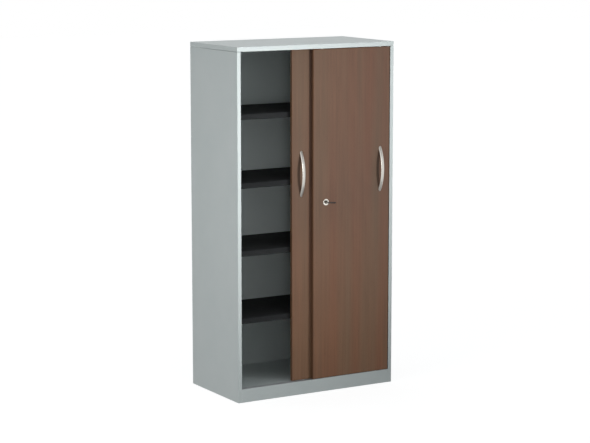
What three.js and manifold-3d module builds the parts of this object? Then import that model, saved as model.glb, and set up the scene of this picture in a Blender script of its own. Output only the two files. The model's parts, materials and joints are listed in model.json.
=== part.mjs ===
// Sliding door cabinet: a folded steel carcass, four black steel shelves on slotted uprights, and two
// wooden doors that roll on a bottom rail and are guided in a channel under the top.
// Lengths are millimetres. X runs to the right, Y from the front to the back, and Z up.
// The origin lies on the floor, under the middle of the whole outline. The doors stand as they are seen:
// the rear (left) door is open, the front (right) door is shut, and the key is in its lock.
import * as THREE from "three";
import { mergeVertices } from "three/addons/utils/BufferGeometryUtils.js";
import Module from "manifold-3d";

const wasm = await Module();
wasm.setup();

// Carcass
const width = 1000;
const depth = 540;
const height = 1950;
const sheet = 1; // steel sheet of the carcass
const foldRadius = 1.5; // outside radius of a pressed edge
const seat = 0.3; // clearance between pieces that rest on each other
const topHeight = 25;
const topSeam = 0.8; // dark line between the top and the sides
const topLip = 16;
const stileWidth = 22;
const rearFlange = 20;
const backRecess = 12; // the back panel stands this far inside the rear edges
const backRim = 10; // depth of the back panel's folded rim
const plinthHeight = 75;
const plinthFoot = 24; // flange on the floor
const plinthShelf = 34; // flange under the floor panel
const hemGap = 0.4; // open gap inside the rolled hem of the front plinth
const floorHeight = 72;
const floorFlange = 22;

// Uprights, shelves and their clips
const uprightWidth = 30;
const uprightSheet = 1.5;
const uprightInset = 42; // from a shelf edge to the middle of an upright
const uprightTopGap = 12;
const slotPitch = 25;
const slotWidth = 16;
const slotHeight = 6;
const slotMargin = 110; // bare length at both ends of an upright
const shelfCount = 4;
const slotStart = 10.5; // where the pattern of shelf places starts above the floor panel
const shelfEdge = 30;
const shelfSheet = 1;
const shelfLip = 12;
const shelfSideGap = 1;
const shelfFrontGap = 2;
const shelfBackGap = 2;
const clipSheet = 1.5;
const clipFold = 0.5;
const clipWidth = 13;
const clipTongue = 15;
const clipRise = 11; // from the tongue up to the hook
const clipDrop = 6; // the hook's tail behind the slot

// Doors
const doorThickness = 19;
const doorSetback = 3; // from the front edges back to the front door
const doorGap = 5; // between the two doors
const doorRearRoom = 6;
const doorSideGap = 2;
const doorBottomGap = 2;
const doorTopGap = 3;
const doorOverlap = 44;
const doorEdgeRadius = 1;
const fingerRoom = 53; // from the open door's handle to the front door's edge

// Bottom rail and rollers
const railBase = 1;
const railHeight = 2.2;
const railWidth = 3;
const railMargin = 3; // rail plate beyond the doors' faces
const wheelRadius = 12; // at the bottom of the groove
const wheelFlange = 2;
const wheelWidth = 8;
const wheelGroove = 4;
const wheelBoreRadius = 2.62;
const axleRadius = 2.5;
const axleHeadRadius = 4;
const axleHead = 0.8;
const housingWidth = 11;
const housingSheet = 1.2;
const housingLength = 54;
const housingTab = 14;
const wheelRoom = 1.5;
const rollerInset = 80; // from a door's edge to its wheel

// Top channel, guide pins and the stop of the open door
const channelWall = 1.5;
const grooveWidth = 10;
const channelRearFlange = 10;
const pinRadius = 4;
const pinRise = 15;
const pinPlug = 22;
const pinCollarRadius = 7;
const pinCollar = 1.8;
const pinInset = 60;
const stopLength = 14;
const stopHeight = 16;

// Bow handles and their screws
const handleHeight = 1238; // middle of a handle above the floor
const handleInset = 60;
const handlePitch = 224;
const handleRise = 32;
const handleThickness = 8;
const handleFootThickness = 16;
const handleWidth = 18;
const handleFootWidth = 19;
const screwRadius = 2;
const screwGrip = 5; // length of screw inside the handle
const screwHeadRadius = 4;
const screwHead = 2.6;
const screwSink = 4;

// Lock and strike plate
const lockHeight = 1074;
const lockInset = 81;
const rosetteRadius = 18;
const rosetteThickness = 3;
const rosetteEdge = 1.2;
const barrelRadius = 12;
const barrelWeb = 3;
const boreRadius = 8.8;
const coreRadius = 8.4;
const coreRecess = 0.8;
const coreLength = 11.5;
const boltRadius = 4;
const boltHeadRadius = 7;
const boltHead = 2;
const boltClear = 1; // left between the thrown bolt and the rear door
const strikeSheet = 1.5;
const strikeFold = 0.6;
const strikeHeight = 34;
const strikeFlange = 16;
const strikeMargin = 7;
const strikePlay = 1.5;

// Folding key
const keyThickness = 2;
const keyWidth = 8;
const keyInsertion = 7;
const keyShoulderWidth = 12;
const keyShoulder = 2.5;
const keyHinge = 22; // from the door's face out to the grip's hinge
const keyPlay = 0.3;
const keyPinRadius = 1.5;
const keyEyeRadius = 1.9;
const keyNotch = 2.2; // deepest cut of the blade
const keyNotchShares = [0.35, 1, 0.55, 0.8];
const gripLength = 46;
const gripHeelRadius = 5;
const gripEndRadius = 10;
const gripThickness = 5;
const gripKnuckleRadius = 4.5;
const gripKnuckleHeight = 9;
const gripPocketRadius = 7;
const gripHoleRadius = 2.5;
const gripAngle = THREE.MathUtils.degToRad(47.5); // swung to the right of straight out

// How finely curves are cut, and how far a cutting tool runs past a face
const foldSteps = 2;
const edgeSteps = 2;
const roundSides = 20;
const smallSides = 12;
const bowSteps = 18;
const bowSides = 10;
const overrun = 1;
const mergeShare = 1e-6; // of the height: vertices closer than this are one

// Where the pieces meet, worked out from the sizes above
const gripForward = (gripLength - gripEndRadius) * Math.cos(gripAngle) + gripEndRadius;
const proud = keyHinge + gripForward - doorSetback;
const front = -(depth - proud) / 2;
const rear = front + depth;
const half = width / 2;
const skin = half - sheet; // inside of a side's outer sheet
const clear = half - stileWidth; // inside of a stile
const sideTop = height - topHeight - topSeam;
const frontDoorFace = front + doorSetback;
const rearDoorFace = frontDoorFace + doorThickness + doorGap;
const stileBack = rearDoorFace + doorThickness + doorRearRoom;
const backFace = rear - backRecess;
const shelfFront = stileBack + shelfFrontGap;
const shelfBack = backFace - shelfBackGap;
const uprightFace = clear - seat; // in line with the stiles, so that a shelf passes between them
const uprightDepth = skin - seat - uprightFace;
const shelfSteps = Math.round((height - topHeight - floorHeight) / ((shelfCount + 1) * slotPitch));
const shelfPitch = shelfSteps * slotPitch;
const firstShelf = floorHeight + slotStart + shelfPitch;
const shelfHalf = uprightFace - clipSheet - 2 * seat - shelfSideGap;
const doorWidth = clear - doorSideGap + doorOverlap / 2;
const doorBottom = plinthHeight + doorBottomGap;
const doorHeight = height - topHeight - doorTopGap - doorBottom;
const rightDoorX = doorWidth / 2 - doorOverlap / 2;
const shutHandle = handleInset - clear + doorSideGap;
const opening = -doorOverlap / 2 - shutHandle - handleWidth / 2 - fingerRoom;
const leftDoorX = opening - rightDoorX;
const railTop = floorHeight + seat + railBase + railHeight;
const axleHeight = railTop + seat + wheelRadius - doorBottom;
const housingTop = axleHeight + wheelRadius + wheelFlange + wheelRoom + housingSheet;
const channelTop = height - sheet - seat;
const channelBottom = height - topHeight + seat;
const boltThrow = doorGap - boltClear;
const coreFront = coreRecess - rosetteThickness - seat;
const boltFront = coreFront + coreLength + seat;

const finishes = {
  paintedSteel: { color: 0xb2b8b6, roughness: 0.5, metalness: 0 },
  blackSteel: { color: 0x1d1e1f, roughness: 0.55, metalness: 0 },
  zincSteel: { color: 0xa9adb0, roughness: 0.4, metalness: 1 },
  aluminium: { color: 0xb9bcbe, roughness: 0.45, metalness: 1 },
  walnut: { color: 0x6c5446, roughness: 0.5, metalness: 0 },
  satinNickel: { color: 0xc9c5bd, roughness: 0.35, metalness: 1 },
  chrome: { color: 0xe0dfdc, roughness: 0.12, metalness: 1 },
  whiteNylon: { color: 0xdedcd4, roughness: 0.5, metalness: 0 },
  blackPlastic: { color: 0x222222, roughness: 0.45, metalness: 0 },
  rubber: { color: 0x2b2b2b, roughness: 0.85, metalness: 0 },
};
for (const [name, look] of Object.entries(finishes)) {
  finishes[name] = new THREE.MeshStandardMaterial({ name, flatShading: true, ...look });
}

function solidFrom(vertProperties, corners) {
  return new wasm.Manifold(new wasm.Mesh({ numProp: 3, vertProperties, triVerts: new Uint32Array(corners) }));
}

// A closed geometry as a solid that can be joined and cut.
function solidOf(geometry) {
  const bare = geometry.index ? geometry.toNonIndexed() : geometry.clone();
  bare.deleteAttribute("normal");
  bare.deleteAttribute("uv");
  const merged = mergeVertices(bare, mergeShare * height);
  const corners = merged.index.array;
  const kept = [];
  for (let i = 0; i < corners.length; i += 3) {
    const [a, b, c] = [corners[i], corners[i + 1], corners[i + 2]];
    if (a !== b && b !== c && c !== a) kept.push(a, b, c);
  }
  return solidFrom(merged.attributes.position.array, kept);
}

function geometryOf(solid) {
  const { vertProperties, triVerts } = solid.getMesh();
  const geometry = new THREE.BufferGeometry();
  geometry.setAttribute("position", new THREE.BufferAttribute(new Float32Array(vertProperties), 3));
  geometry.setIndex(new THREE.BufferAttribute(new Uint32Array(triVerts), 1));
  geometry.computeVertexNormals();
  return geometry;
}

function block([x0, x1], [y0, y1], [z0, z1]) {
  const geometry = new THREE.BoxGeometry(x1 - x0, y1 - y0, z1 - z0);
  return solidOf(geometry.translate((x0 + x1) / 2, (y0 + y1) / 2, (z0 + z1) / 2));
}

// An outline run along an axis. Its points are in the two other axes, in the order X, Y, Z. Each pair of
// quarter turns takes X to Y, Y to Z and Z to X.
function prism(points, axis, from, to, holes = []) {
  const spot = ([a, b]) => (axis === "y" ? new THREE.Vector2(b, a) : new THREE.Vector2(a, b));
  const shape = new THREE.Shape(points.map(spot));
  shape.holes = holes.map((hole) => new THREE.Path(hole.map(spot)));
  const geometry = new THREE.ExtrudeGeometry(shape, { depth: to - from, bevelEnabled: false });
  geometry.translate(0, 0, from);
  for (let i = 0; i < "zxy".indexOf(axis); i++) geometry.rotateX(Math.PI / 2).rotateZ(Math.PI / 2);
  return solidOf(geometry);
}

// A profile of [radius, place] points turned about the Y axis.
function turned(profile, sides) {
  const points = profile.map(([radius, place]) => new THREE.Vector2(radius, place));
  return solidOf(new THREE.LatheGeometry(points, sides));
}

// Points of an arc, first and last included, with angles from the first axis of the plane.
function arc([a, b], radius, from, to, steps) {
  return Array.from({ length: steps + 1 }, (_, i) => {
    const angle = from + ((to - from) * i) / steps;
    return [a + radius * Math.cos(angle), b + radius * Math.sin(angle)];
  });
}

function circle(centre, radius, sides) {
  return arc(centre, radius, 0, 2 * Math.PI, sides).slice(0, -1);
}

function roundedRectangle([a0, a1], [b0, b1], radius, steps) {
  const [low, high, near, far] = [a0 + radius, a1 - radius, b0 + radius, b1 - radius];
  const hubs = [[high, far], [low, far], [low, near], [high, near]];
  const quarter = Math.PI / 2;
  return hubs.flatMap((hub, i) => arc(hub, radius, i * quarter, (i + 1) * quarter, steps));
}

// The outline of a sheet folded along a path: the path is the middle of the sheet.
function foldedSheet(path, thickness, insideRadius) {
  const spots = path.map(([a, b]) => new THREE.Vector2(a, b));
  const heading = (i) => spots[i + 1].clone().sub(spots[i]).normalize();
  const leftOf = (v) => new THREE.Vector2(-v.y, v.x);
  const line = [[spots[0], leftOf(heading(0))]];
  for (let i = 1; i < spots.length - 1; i++) {
    const before = heading(i - 1);
    const turn = Math.atan2(before.cross(heading(i)), before.dot(heading(i)));
    const radius = (insideRadius + thickness / 2) * Math.sign(turn);
    const start = spots[i].clone().addScaledVector(before, -radius * Math.tan(turn / 2));
    const hub = start.addScaledVector(leftOf(before), radius);
    for (let k = 0; k <= foldSteps; k++) {
      const normal = leftOf(before).rotateAround(new THREE.Vector2(), (turn * k) / foldSteps);
      line.push([hub.clone().addScaledVector(normal, -radius), normal]);
    }
  }
  line.push([spots.at(-1), leftOf(heading(spots.length - 2))]);
  const side = (offset) => line.map(([p, n]) => p.clone().addScaledVector(n, offset).toArray());
  return [...side(thickness / 2), ...side(-thickness / 2).reverse()];
}

// A pressed tray, open below, with rounded upper edges.
function tray([x0, x1], [y0, y1], [z0, z1], thickness, radius) {
  const crown = (a0, a1) => [
    [a0, z0],
    [a1, z0],
    ...arc([a1 - radius, z1 - radius], radius, 0, Math.PI / 2, edgeSteps),
    ...arc([a0 + radius, z1 - radius], radius, Math.PI / 2, Math.PI, edgeSteps),
  ];
  const outside = prism(crown(x0, x1), "y", y0, y1).intersect(prism(crown(y0, y1), "x", x0, x1));
  const inside = block(
    [x0 + thickness, x1 - thickness],
    [y0 + thickness, y1 - thickness],
    [z0 - overrun, z1 - thickness],
  );
  return outside.subtract(inside);
}

const cabinet = new THREE.Group();
cabinet.name = "sliding_door_cabinet";

function piece(parent, name, geometry, finish, [x, y, z] = [0, 0, 0], turn = 0) {
  const mesh = new THREE.Mesh(geometry, finish);
  mesh.name = name;
  mesh.position.set(x, y, z);
  mesh.rotation.z = turn;
  parent.add(mesh);
}

// One side: outer sheet, front stile folded back beside the doors, and rear flange.
function sidePanel(side) {
  const middle = sheet / 2;
  const path = [
    [half - rearFlange, rear - middle],
    [half - middle, rear - middle],
    [half - middle, front + middle],
    [clear + middle, front + middle],
    [clear + middle, stileBack - middle],
    [skin - 2 * sheet, stileBack - middle],
  ];
  const outline = foldedSheet(path, sheet, foldRadius - sheet);
  return prism(outline.map(([x, y]) => [side * x, y]), "z", 0, sideTop);
}

function topPanel() {
  const low = height - topHeight;
  const lips = [
    block([-skin, topLip - half], [front + sheet, rear - sheet], [low, low + sheet]),
    block([half - topLip, skin], [front + sheet, rear - sheet], [low, low + sheet]),
    block([-skin, skin], [rear - topLip, rear - sheet], [low, low + sheet]),
  ];
  const cap = tray([-half, half], [front, rear], [low, height], sheet, foldRadius);
  return lips.reduce((whole, lip) => whole.add(lip), cap);
}

// The floor panel passes between the stiles, so its front corners are notched.
function floorPanel() {
  const edge = skin - seat;
  const middle = sheet / 2;
  const top = floorHeight - middle;
  const path = [
    [-edge + middle, floorHeight - floorFlange],
    [-edge + middle, top],
    [edge - middle, top],
    [edge - middle, floorHeight - floorFlange],
  ];
  const from = front + 2 * sheet + hemGap + seat;
  const notch = (side) => {
    const x = [side * (clear - seat), side * half].sort((a, b) => a - b);
    return block(x, [front, stileBack + seat], [0, height]);
  };
  const panel = prism(foldedSheet(path, sheet, foldRadius - sheet), "y", from, backFace - seat);
  return panel.subtract(notch(-1)).subtract(notch(1));
}

// Front plinth: foot flange, face, rolled hem, and a flange that carries the floor panel.
function plinthFront() {
  const middle = sheet / 2;
  const hem = front + sheet + hemGap + middle;
  const ledge = floorHeight - sheet - seat - middle;
  const path = [
    [front + plinthFoot, middle],
    [front + middle, middle],
    [front + middle, plinthHeight - middle],
    [hem, plinthHeight - middle],
    [hem, ledge],
    [front + plinthShelf, ledge],
  ];
  return prism(foldedSheet(path, sheet, 0), "x", seat - clear, clear - seat);
}

function plinthBack() {
  const middle = sheet / 2;
  const face = backFace - seat - middle;
  const ledge = floorHeight - sheet - seat - middle;
  const path = [
    [face - plinthFoot, middle],
    [face, middle],
    [face, ledge],
    [face - plinthShelf, ledge],
  ];
  const end = skin - sheet - 2 * seat;
  return prism(foldedSheet(path, sheet, foldRadius - sheet), "x", -end, end);
}

// The back panel is a tray that stands on edge, with its rim to the rear.
function backPanel() {
  const edge = skin - seat;
  const flat = tray([-edge, edge], [seat, sideTop], [-backFace - backRim, -backFace], sheet, foldRadius);
  const geometry = geometryOf(flat);
  return solidOf(geometry.rotateX(Math.PI / 2));
}

// A U-shaped upright, its slotted web at X = 0 facing +X, its flanges against the side.
const uprightBottom = floorHeight + seat;
const uprightTop = height - topHeight - uprightTopGap;
const tongueTop = firstShelf - shelfEdge - seat;
const hookHeight = tongueTop - clipSheet / 2 + clipRise;
const slotLow = hookHeight - clipSheet / 2 - seat;
function upright() {
  const middle = uprightSheet / 2;
  const wing = uprightWidth / 2 - middle;
  const path = [
    [-uprightDepth, -wing],
    [-middle, -wing],
    [-middle, wing],
    [-uprightDepth, wing],
  ];
  const outline = foldedSheet(path, uprightSheet, foldRadius - uprightSheet / 2);
  const body = prism(outline, "z", uprightBottom, uprightTop);
  const below = Math.floor((slotLow - uprightBottom - slotMargin) / slotPitch);
  const above = Math.floor((uprightTop - slotMargin - slotHeight - slotLow) / slotPitch);
  const wide = [-slotWidth / 2, slotWidth / 2];
  const cutters = [];
  for (let i = -below; i <= above; i++) {
    const low = slotLow + i * slotPitch;
    cutters.push(block([-uprightSheet - overrun, overrun], wide, [low, low + slotHeight]));
  }
  return body.subtract(wasm.Manifold.union(cutters));
}

// A clip folded from strip: a tongue under the shelf, a back, and a hook through the slot.
// Its origin is on the face of the upright, at the height of the tongue's top.
function shelfClip() {
  const middle = clipSheet / 2;
  const plate = seat + middle;
  const hook = clipRise - middle;
  const tail = -uprightSheet - seat - middle;
  const path = [
    [clipTongue, -middle],
    [plate, -middle],
    [plate, hook],
    [tail, hook],
    [tail, hook - clipDrop],
  ];
  return prism(foldedSheet(path, clipSheet, clipFold), "y", -clipWidth / 2, clipWidth / 2);
}

// A shelf is a tray with its front and rear rims folded inwards; its origin is on its top.
function shelf() {
  const across = [-shelfHalf, shelfHalf];
  const body = tray(across, [shelfFront, shelfBack], [-shelfEdge, 0], shelfSheet, foldRadius);
  const low = [-shelfEdge, shelfSheet - shelfEdge];
  const frontLip = block(across, [shelfFront, shelfFront + shelfLip], low);
  const rearLip = block(across, [shelfBack - shelfLip, shelfBack], low);
  return body.add(frontLip).add(rearLip);
}

// Middle planes of the front and the rear door
const lanes = [frontDoorFace + doorThickness / 2, rearDoorFace + doorThickness / 2];

// Two low rails on one base plate. The outline is walked from the rear edge round to the front.
function bottomTrack() {
  const base = floorHeight + seat;
  const crown = base + railBase;
  const low = lanes[0] - doorThickness / 2 + railMargin;
  const high = lanes[1] + doorThickness / 2 - railMargin;
  const rails = lanes.flatMap((lane) => [
    [lane - railWidth / 2, crown],
    [lane - railWidth / 2, crown + railHeight],
    [lane + railWidth / 2, crown + railHeight],
    [lane + railWidth / 2, crown],
  ]);
  const outline = [[high, crown], [high, base], [low, base], [low, crown], ...rails];
  return prism(outline, "x", seat - clear, clear - seat);
}

// Two downward grooves under one web, one for each door's guide pins.
function topChannel() {
  const web = channelTop - channelWall;
  const reach = grooveWidth / 2;
  const legs = lanes.flatMap((lane) => [
    [lane - reach - channelWall, web],
    [lane - reach - channelWall, channelBottom],
    [lane - reach, channelBottom],
    [lane - reach, web],
    [lane + reach, web],
    [lane + reach, channelBottom],
    [lane + reach + channelWall, channelBottom],
    [lane + reach + channelWall, web],
  ]);
  const low = front + sheet + seat;
  const high = lanes[1] + reach + channelWall + channelRearFlange;
  const outline = [[high, web], [high, channelTop], [low, channelTop], [low, web], ...legs];
  return prism(outline, "x", seat - clear, clear - seat);
}

// Rubber block in the rear groove, against which the open door's guide pin rests.
const openPin = leftDoorX + doorWidth / 2 - pinInset;
function doorStop() {
  const reach = grooveWidth / 2 - seat;
  const top = channelTop - channelWall - seat;
  const from = openPin + pinRadius + seat;
  return block([from, from + stopLength], [lanes[1] - reach, lanes[1] + reach], [top - stopHeight, top]);
}

// Places on a door, from the middle of its width: both rollers, both guide pins.
const rollerPlaces = [-1, 1].map((side) => side * (doorWidth / 2 - rollerInset));
const pinPlaces = [-1, 1].map((side) => side * (doorWidth / 2 - pinInset));
const screwPlaces = [-1, 1].map((side) => handleHeight - doorBottom + (side * handlePitch) / 2);
const lockX = lockInset - doorWidth / 2;
const lockZ = lockHeight - doorBottom;

// A door board, from its front face back and from its bottom edge up.
function doorBoard(handleX, hasLock) {
  const side = doorWidth / 2;
  const middle = doorThickness / 2;
  const outline = roundedRectangle([-side, side], [0, doorThickness], doorEdgeRadius, edgeSteps);
  const slim = [middle - housingWidth / 2 - seat, middle + housingWidth / 2 + seat];
  const reach = housingLength / 2 + seat;
  const cutters = [];
  for (const x of rollerPlaces) {
    cutters.push(block([x - reach, x + reach], slim, [-overrun, housingTop + seat]));
    const tab = reach + housingTab;
    cutters.push(block([x - tab, x + tab], slim, [-overrun, housingSheet + 2 * seat]));
  }
  for (const x of pinPlaces) {
    const hole = circle([x, middle], pinRadius + seat, smallSides);
    cutters.push(prism(hole, "z", doorHeight - pinPlug - seat, doorHeight + overrun));
  }
  for (const z of screwPlaces) {
    const bore = circle([handleX, z], screwRadius + seat, smallSides);
    const sink = circle([handleX, z], screwHeadRadius + seat, smallSides);
    cutters.push(prism(bore, "y", -overrun, doorThickness));
    cutters.push(prism(sink, "y", doorThickness - screwSink, doorThickness + overrun));
  }
  if (hasLock) {
    const hole = circle([lockX, lockZ], barrelRadius + seat, roundSides);
    cutters.push(prism(hole, "y", -overrun, doorThickness + overrun));
  }
  return prism(outline, "z", 0, doorHeight).subtract(wasm.Manifold.union(cutters));
}

// A bow handle: an oval bar along an arc, thicker and a little wider towards its feet, which are cut flat
// at the door's face (Y = 0). The bar runs on past the face before the cut.
function bowHandle() {
  const chord = handlePitch / 2;
  const rise = handleRise - handleThickness / 2;
  const radius = (chord * chord + rise * rise) / (2 * rise);
  const foot = Math.asin(chord / radius);
  const lastAngle = foot + handleFootThickness / radius;
  const vertices = [];
  const triVerts = [];
  for (let i = 0; i <= bowSteps; i++) {
    const angle = lastAngle * ((2 * i) / bowSteps - 1);
    const share = Math.min(1, (angle / foot) ** 2);
    const thick = THREE.MathUtils.lerp(handleThickness, handleFootThickness, share) / 2;
    const wide = THREE.MathUtils.lerp(handleWidth, handleFootWidth, share) / 2;
    for (let k = 0; k < bowSides; k++) {
      const round = (2 * Math.PI * k) / bowSides;
      const out = radius + thick * Math.cos(round);
      const y = radius - rise - out * Math.cos(angle);
      vertices.push(wide * Math.sin(round), y, out * Math.sin(angle));
    }
  }
  const at = (i, k) => i * bowSides + (k % bowSides);
  for (let k = 0; k < bowSides; k++) {
    for (let i = 0; i < bowSteps; i++) {
      triVerts.push(at(i, k), at(i, k + 1), at(i + 1, k));
      triVerts.push(at(i, k + 1), at(i + 1, k + 1), at(i + 1, k));
    }
    if (k > 1) {
      triVerts.push(at(0, 0), at(0, k), at(0, k - 1));
      triVerts.push(at(bowSteps, 0), at(bowSteps, k - 1), at(bowSteps, k));
    }
  }
  const bar = solidFrom(new Float32Array(vertices), triVerts);
  const past = handlePitch + handleFootThickness;
  const door = block([-handleWidth, handleWidth], [0, past], [-past, past]);
  const screws = [-chord, chord].map((z) => {
    const hole = circle([0, z], screwRadius + seat, smallSides);
    return prism(hole, "y", -screwGrip - seat, overrun);
  });
  return bar.subtract(door).subtract(wasm.Manifold.union(screws));
}

// A screw from the back of the door into the handle, its head sunk. Its origin is on the door's face.
function handleScrew() {
  const head = doorThickness - screwSink + seat;
  const profile = [
    [0, -screwGrip],
    [screwRadius, -screwGrip],
    [screwRadius, head],
    [screwHeadRadius, head],
    [screwHeadRadius, head + screwHead / 2],
    [screwHeadRadius / 2, head + screwHead],
    [0, head + screwHead],
  ];
  return turned(profile, smallSides);
}

// A roller housing let into the door's bottom edge: an upturned U with end tabs and a riveted axle.
// Its origin is on the bottom edge, at the middle of the board's thickness.
function rollerHousing() {
  const middle = housingSheet / 2;
  const cheek = housingWidth / 2 - middle;
  const path = [
    [-cheek, seat],
    [-cheek, housingTop - middle],
    [cheek, housingTop - middle],
    [cheek, seat],
  ];
  const end = housingLength / 2;
  const body = prism(foldedSheet(path, housingSheet, housingSheet / 2), "x", -end, end);
  const inner = wheelRadius + wheelFlange + wheelRoom;
  const wide = [-housingWidth / 2, housingWidth / 2];
  const thick = [seat, seat + housingSheet];
  const tabs = [-1, 1].map((side) => {
    const x = [side * inner, side * (end + housingTab)].sort((a, b) => a - b);
    const screwHole = circle([side * (end + housingTab / 2), 0], screwRadius, smallSides);
    return block(x, wide, thick).subtract(prism(screwHole, "z", -overrun, housingTop));
  });
  const axle = prism(circle([0, axleHeight], axleRadius, roundSides), "y", -cheek, cheek);
  const collar = (side) => {
    const y = [side * (wheelWidth / 2 + seat), side * cheek].sort((a, b) => a - b);
    return prism(circle([0, axleHeight], axleHeadRadius, roundSides), "y", y[0], y[1]);
  };
  return [...tabs, axle, collar(-1), collar(1)].reduce((whole, part) => whole.add(part), body);
}

// A grooved wheel that turns about Y.
function wheel() {
  const outer = wheelRadius + wheelFlange;
  const end = wheelWidth / 2;
  const groove = wheelGroove / 2;
  const bevel = wheelFlange / 2;
  const profile = [
    [wheelBoreRadius, -end],
    [outer - bevel, -end],
    [outer, bevel - end],
    [outer, -groove],
    [wheelRadius, -groove],
    [wheelRadius, groove],
    [outer, groove],
    [outer, end - bevel],
    [outer - bevel, end],
    [wheelBoreRadius, end],
    [wheelBoreRadius, -end],
  ];
  return turned(profile, roundSides);
}

// A guide pin plugged into the door's top edge. Its origin is on that edge.
function guidePin() {
  const round = pinRadius / 4;
  const profile = [
    [0, -pinPlug],
    [pinRadius, -pinPlug],
    [pinRadius, seat],
    [pinCollarRadius, seat],
    [pinCollarRadius, seat + pinCollar],
    [pinRadius, seat + pinCollar],
    [pinRadius, pinRise - round],
    [pinRadius - round, pinRise],
    [0, pinRise],
  ];
  return solidOf(geometryOf(turned(profile, smallSides)).rotateX(Math.PI / 2));
}

// The lock's rosette and barrel in one turned piece, open for the core in front and the bolt behind.
// The origin of the lock's pieces is on the door's face, on the lock's axis.
function lockHousing() {
  const face = -seat - rosetteThickness;
  const back = doorThickness - seat;
  const profile = [
    [boreRadius, face],
    [rosetteRadius - rosetteEdge, face],
    [rosetteRadius, face + rosetteEdge],
    [rosetteRadius, -seat],
    [barrelRadius, -seat],
    [barrelRadius, back],
    [boltRadius + seat, back],
    [boltRadius + seat, back - barrelWeb],
    [boreRadius, back - barrelWeb],
    [boreRadius, face],
  ];
  return turned(profile, roundSides);
}

function lockCore() {
  const profile = [
    [0, coreFront],
    [coreRadius, coreFront],
    [coreRadius, coreFront + coreLength],
    [0, coreFront + coreLength],
  ];
  const wide = keyWidth / 2 + keyPlay;
  const high = keyThickness / 2 + keyPlay;
  const keyway = block([-wide, wide], [coreFront - overrun, keyInsertion + keyPlay], [-high, high]);
  return turned(profile, roundSides).subtract(keyway);
}

function lockBolt() {
  const profile = [
    [0, boltFront],
    [boltHeadRadius, boltFront],
    [boltHeadRadius, boltFront + boltHead],
    [boltRadius, boltFront + boltHead],
    [boltRadius, doorThickness - seat],
    [0, doorThickness - seat],
  ];
  return turned(profile, roundSides);
}

// An angle on the rear door's inner edge, whose leg lies in the gap between the doors. With both doors
// shut, its hole is behind the bolt. Its origin is on the door's edge, face and lock height.
function strikePlate() {
  const middle = strikeSheet / 2;
  const reach = lockInset - doorOverlap;
  const path = [
    [seat + middle, strikeFlange],
    [seat + middle, -doorGap / 2],
    [reach + boltRadius + strikeMargin, -doorGap / 2],
  ];
  const tall = [-strikeHeight / 2, strikeHeight / 2];
  const angle = prism(foldedSheet(path, strikeSheet, strikeFold), "z", tall[0], tall[1]);
  const hole = circle([reach, 0], boltRadius + strikePlay, roundSides);
  return angle.subtract(prism(hole, "y", -doorGap, 0));
}

// The key's blade lies flat, with its cuts on one edge and an eye at its outer end. Its origin is the
// eye's middle, and the lock lies in +Y.
function keyBlade() {
  const edge = keyWidth / 2;
  const tip = keyHinge + keyInsertion;
  const shoulder = keyHinge + coreFront - coreRecess - seat;
  const cutStart = shoulder + keyShoulder;
  const cutLength = (tip - cutStart) / keyNotchShares.length;
  const cuts = keyNotchShares.flatMap((share, i) => [
    [edge, cutStart + cutLength * i],
    [edge - keyNotch * share, cutStart + cutLength * (i + 1 / 2)],
  ]);
  const outline = [
    ...arc([0, 0], edge, -Math.PI, 0, smallSides),
    [edge, shoulder - keyShoulder],
    [keyShoulderWidth / 2, shoulder - keyShoulder],
    [keyShoulderWidth / 2, shoulder],
    [edge, shoulder],
    ...cuts,
    [edge / 2, tip],
    [-edge / 2, tip],
    [-edge, tip - edge / 2],
    [-edge, shoulder],
    [-keyShoulderWidth / 2, shoulder],
    [-keyShoulderWidth / 2, shoulder - keyShoulder],
    [-edge, shoulder - keyShoulder],
  ];
  const eye = circle([0, 0], keyEyeRadius, smallSides);
  return prism(outline, "z", -keyThickness / 2, keyThickness / 2, [eye]);
}

// The grip folds about the pin through the blade's eye. Its origin is on that pin, and it lies in -Y.
function keyGrip() {
  const end = gripLength - gripEndRadius;
  const lean = Math.asin((gripEndRadius - gripHeelRadius) / end);
  const outline = [
    ...arc([0, 0], gripHeelRadius, lean, Math.PI - lean, smallSides),
    ...arc([0, -end], gripEndRadius, Math.PI - lean, 2 * Math.PI + lean, roundSides),
  ];
  const ringHole = circle([0, -end], gripHoleRadius, smallSides);
  const plate = prism(outline, "z", -gripThickness / 2, gripThickness / 2, [ringHole]);
  const tall = gripKnuckleHeight / 2;
  const knuckle = prism(circle([0, 0], gripKnuckleRadius, smallSides), "z", -tall, tall);
  const pocket = keyThickness / 2 + keyPlay;
  const room = prism(circle([0, 0], gripPocketRadius, roundSides), "z", -pocket, pocket);
  const pin = prism(circle([0, 0], keyPinRadius, smallSides), "z", -tall, tall);
  return plate.add(knuckle).subtract(room).add(pin);
}

// Carcass
const steel = finishes.paintedSteel;
piece(cabinet, "left_side_panel", geometryOf(sidePanel(-1)), steel);
piece(cabinet, "right_side_panel", geometryOf(sidePanel(1)), steel);
piece(cabinet, "top_panel", geometryOf(topPanel()), steel);
piece(cabinet, "bottom_panel", geometryOf(floorPanel()), steel);
piece(cabinet, "plinth_front", geometryOf(plinthFront()), steel);
piece(cabinet, "plinth_back", geometryOf(plinthBack()), steel);
piece(cabinet, "back_panel", geometryOf(backPanel()), steel);
piece(cabinet, "bottom_track", geometryOf(bottomTrack()), finishes.aluminium);
piece(cabinet, "top_guide_channel", geometryOf(topChannel()), finishes.aluminium);
piece(cabinet, "left_door_stop", geometryOf(doorStop()), finishes.rubber);

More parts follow.
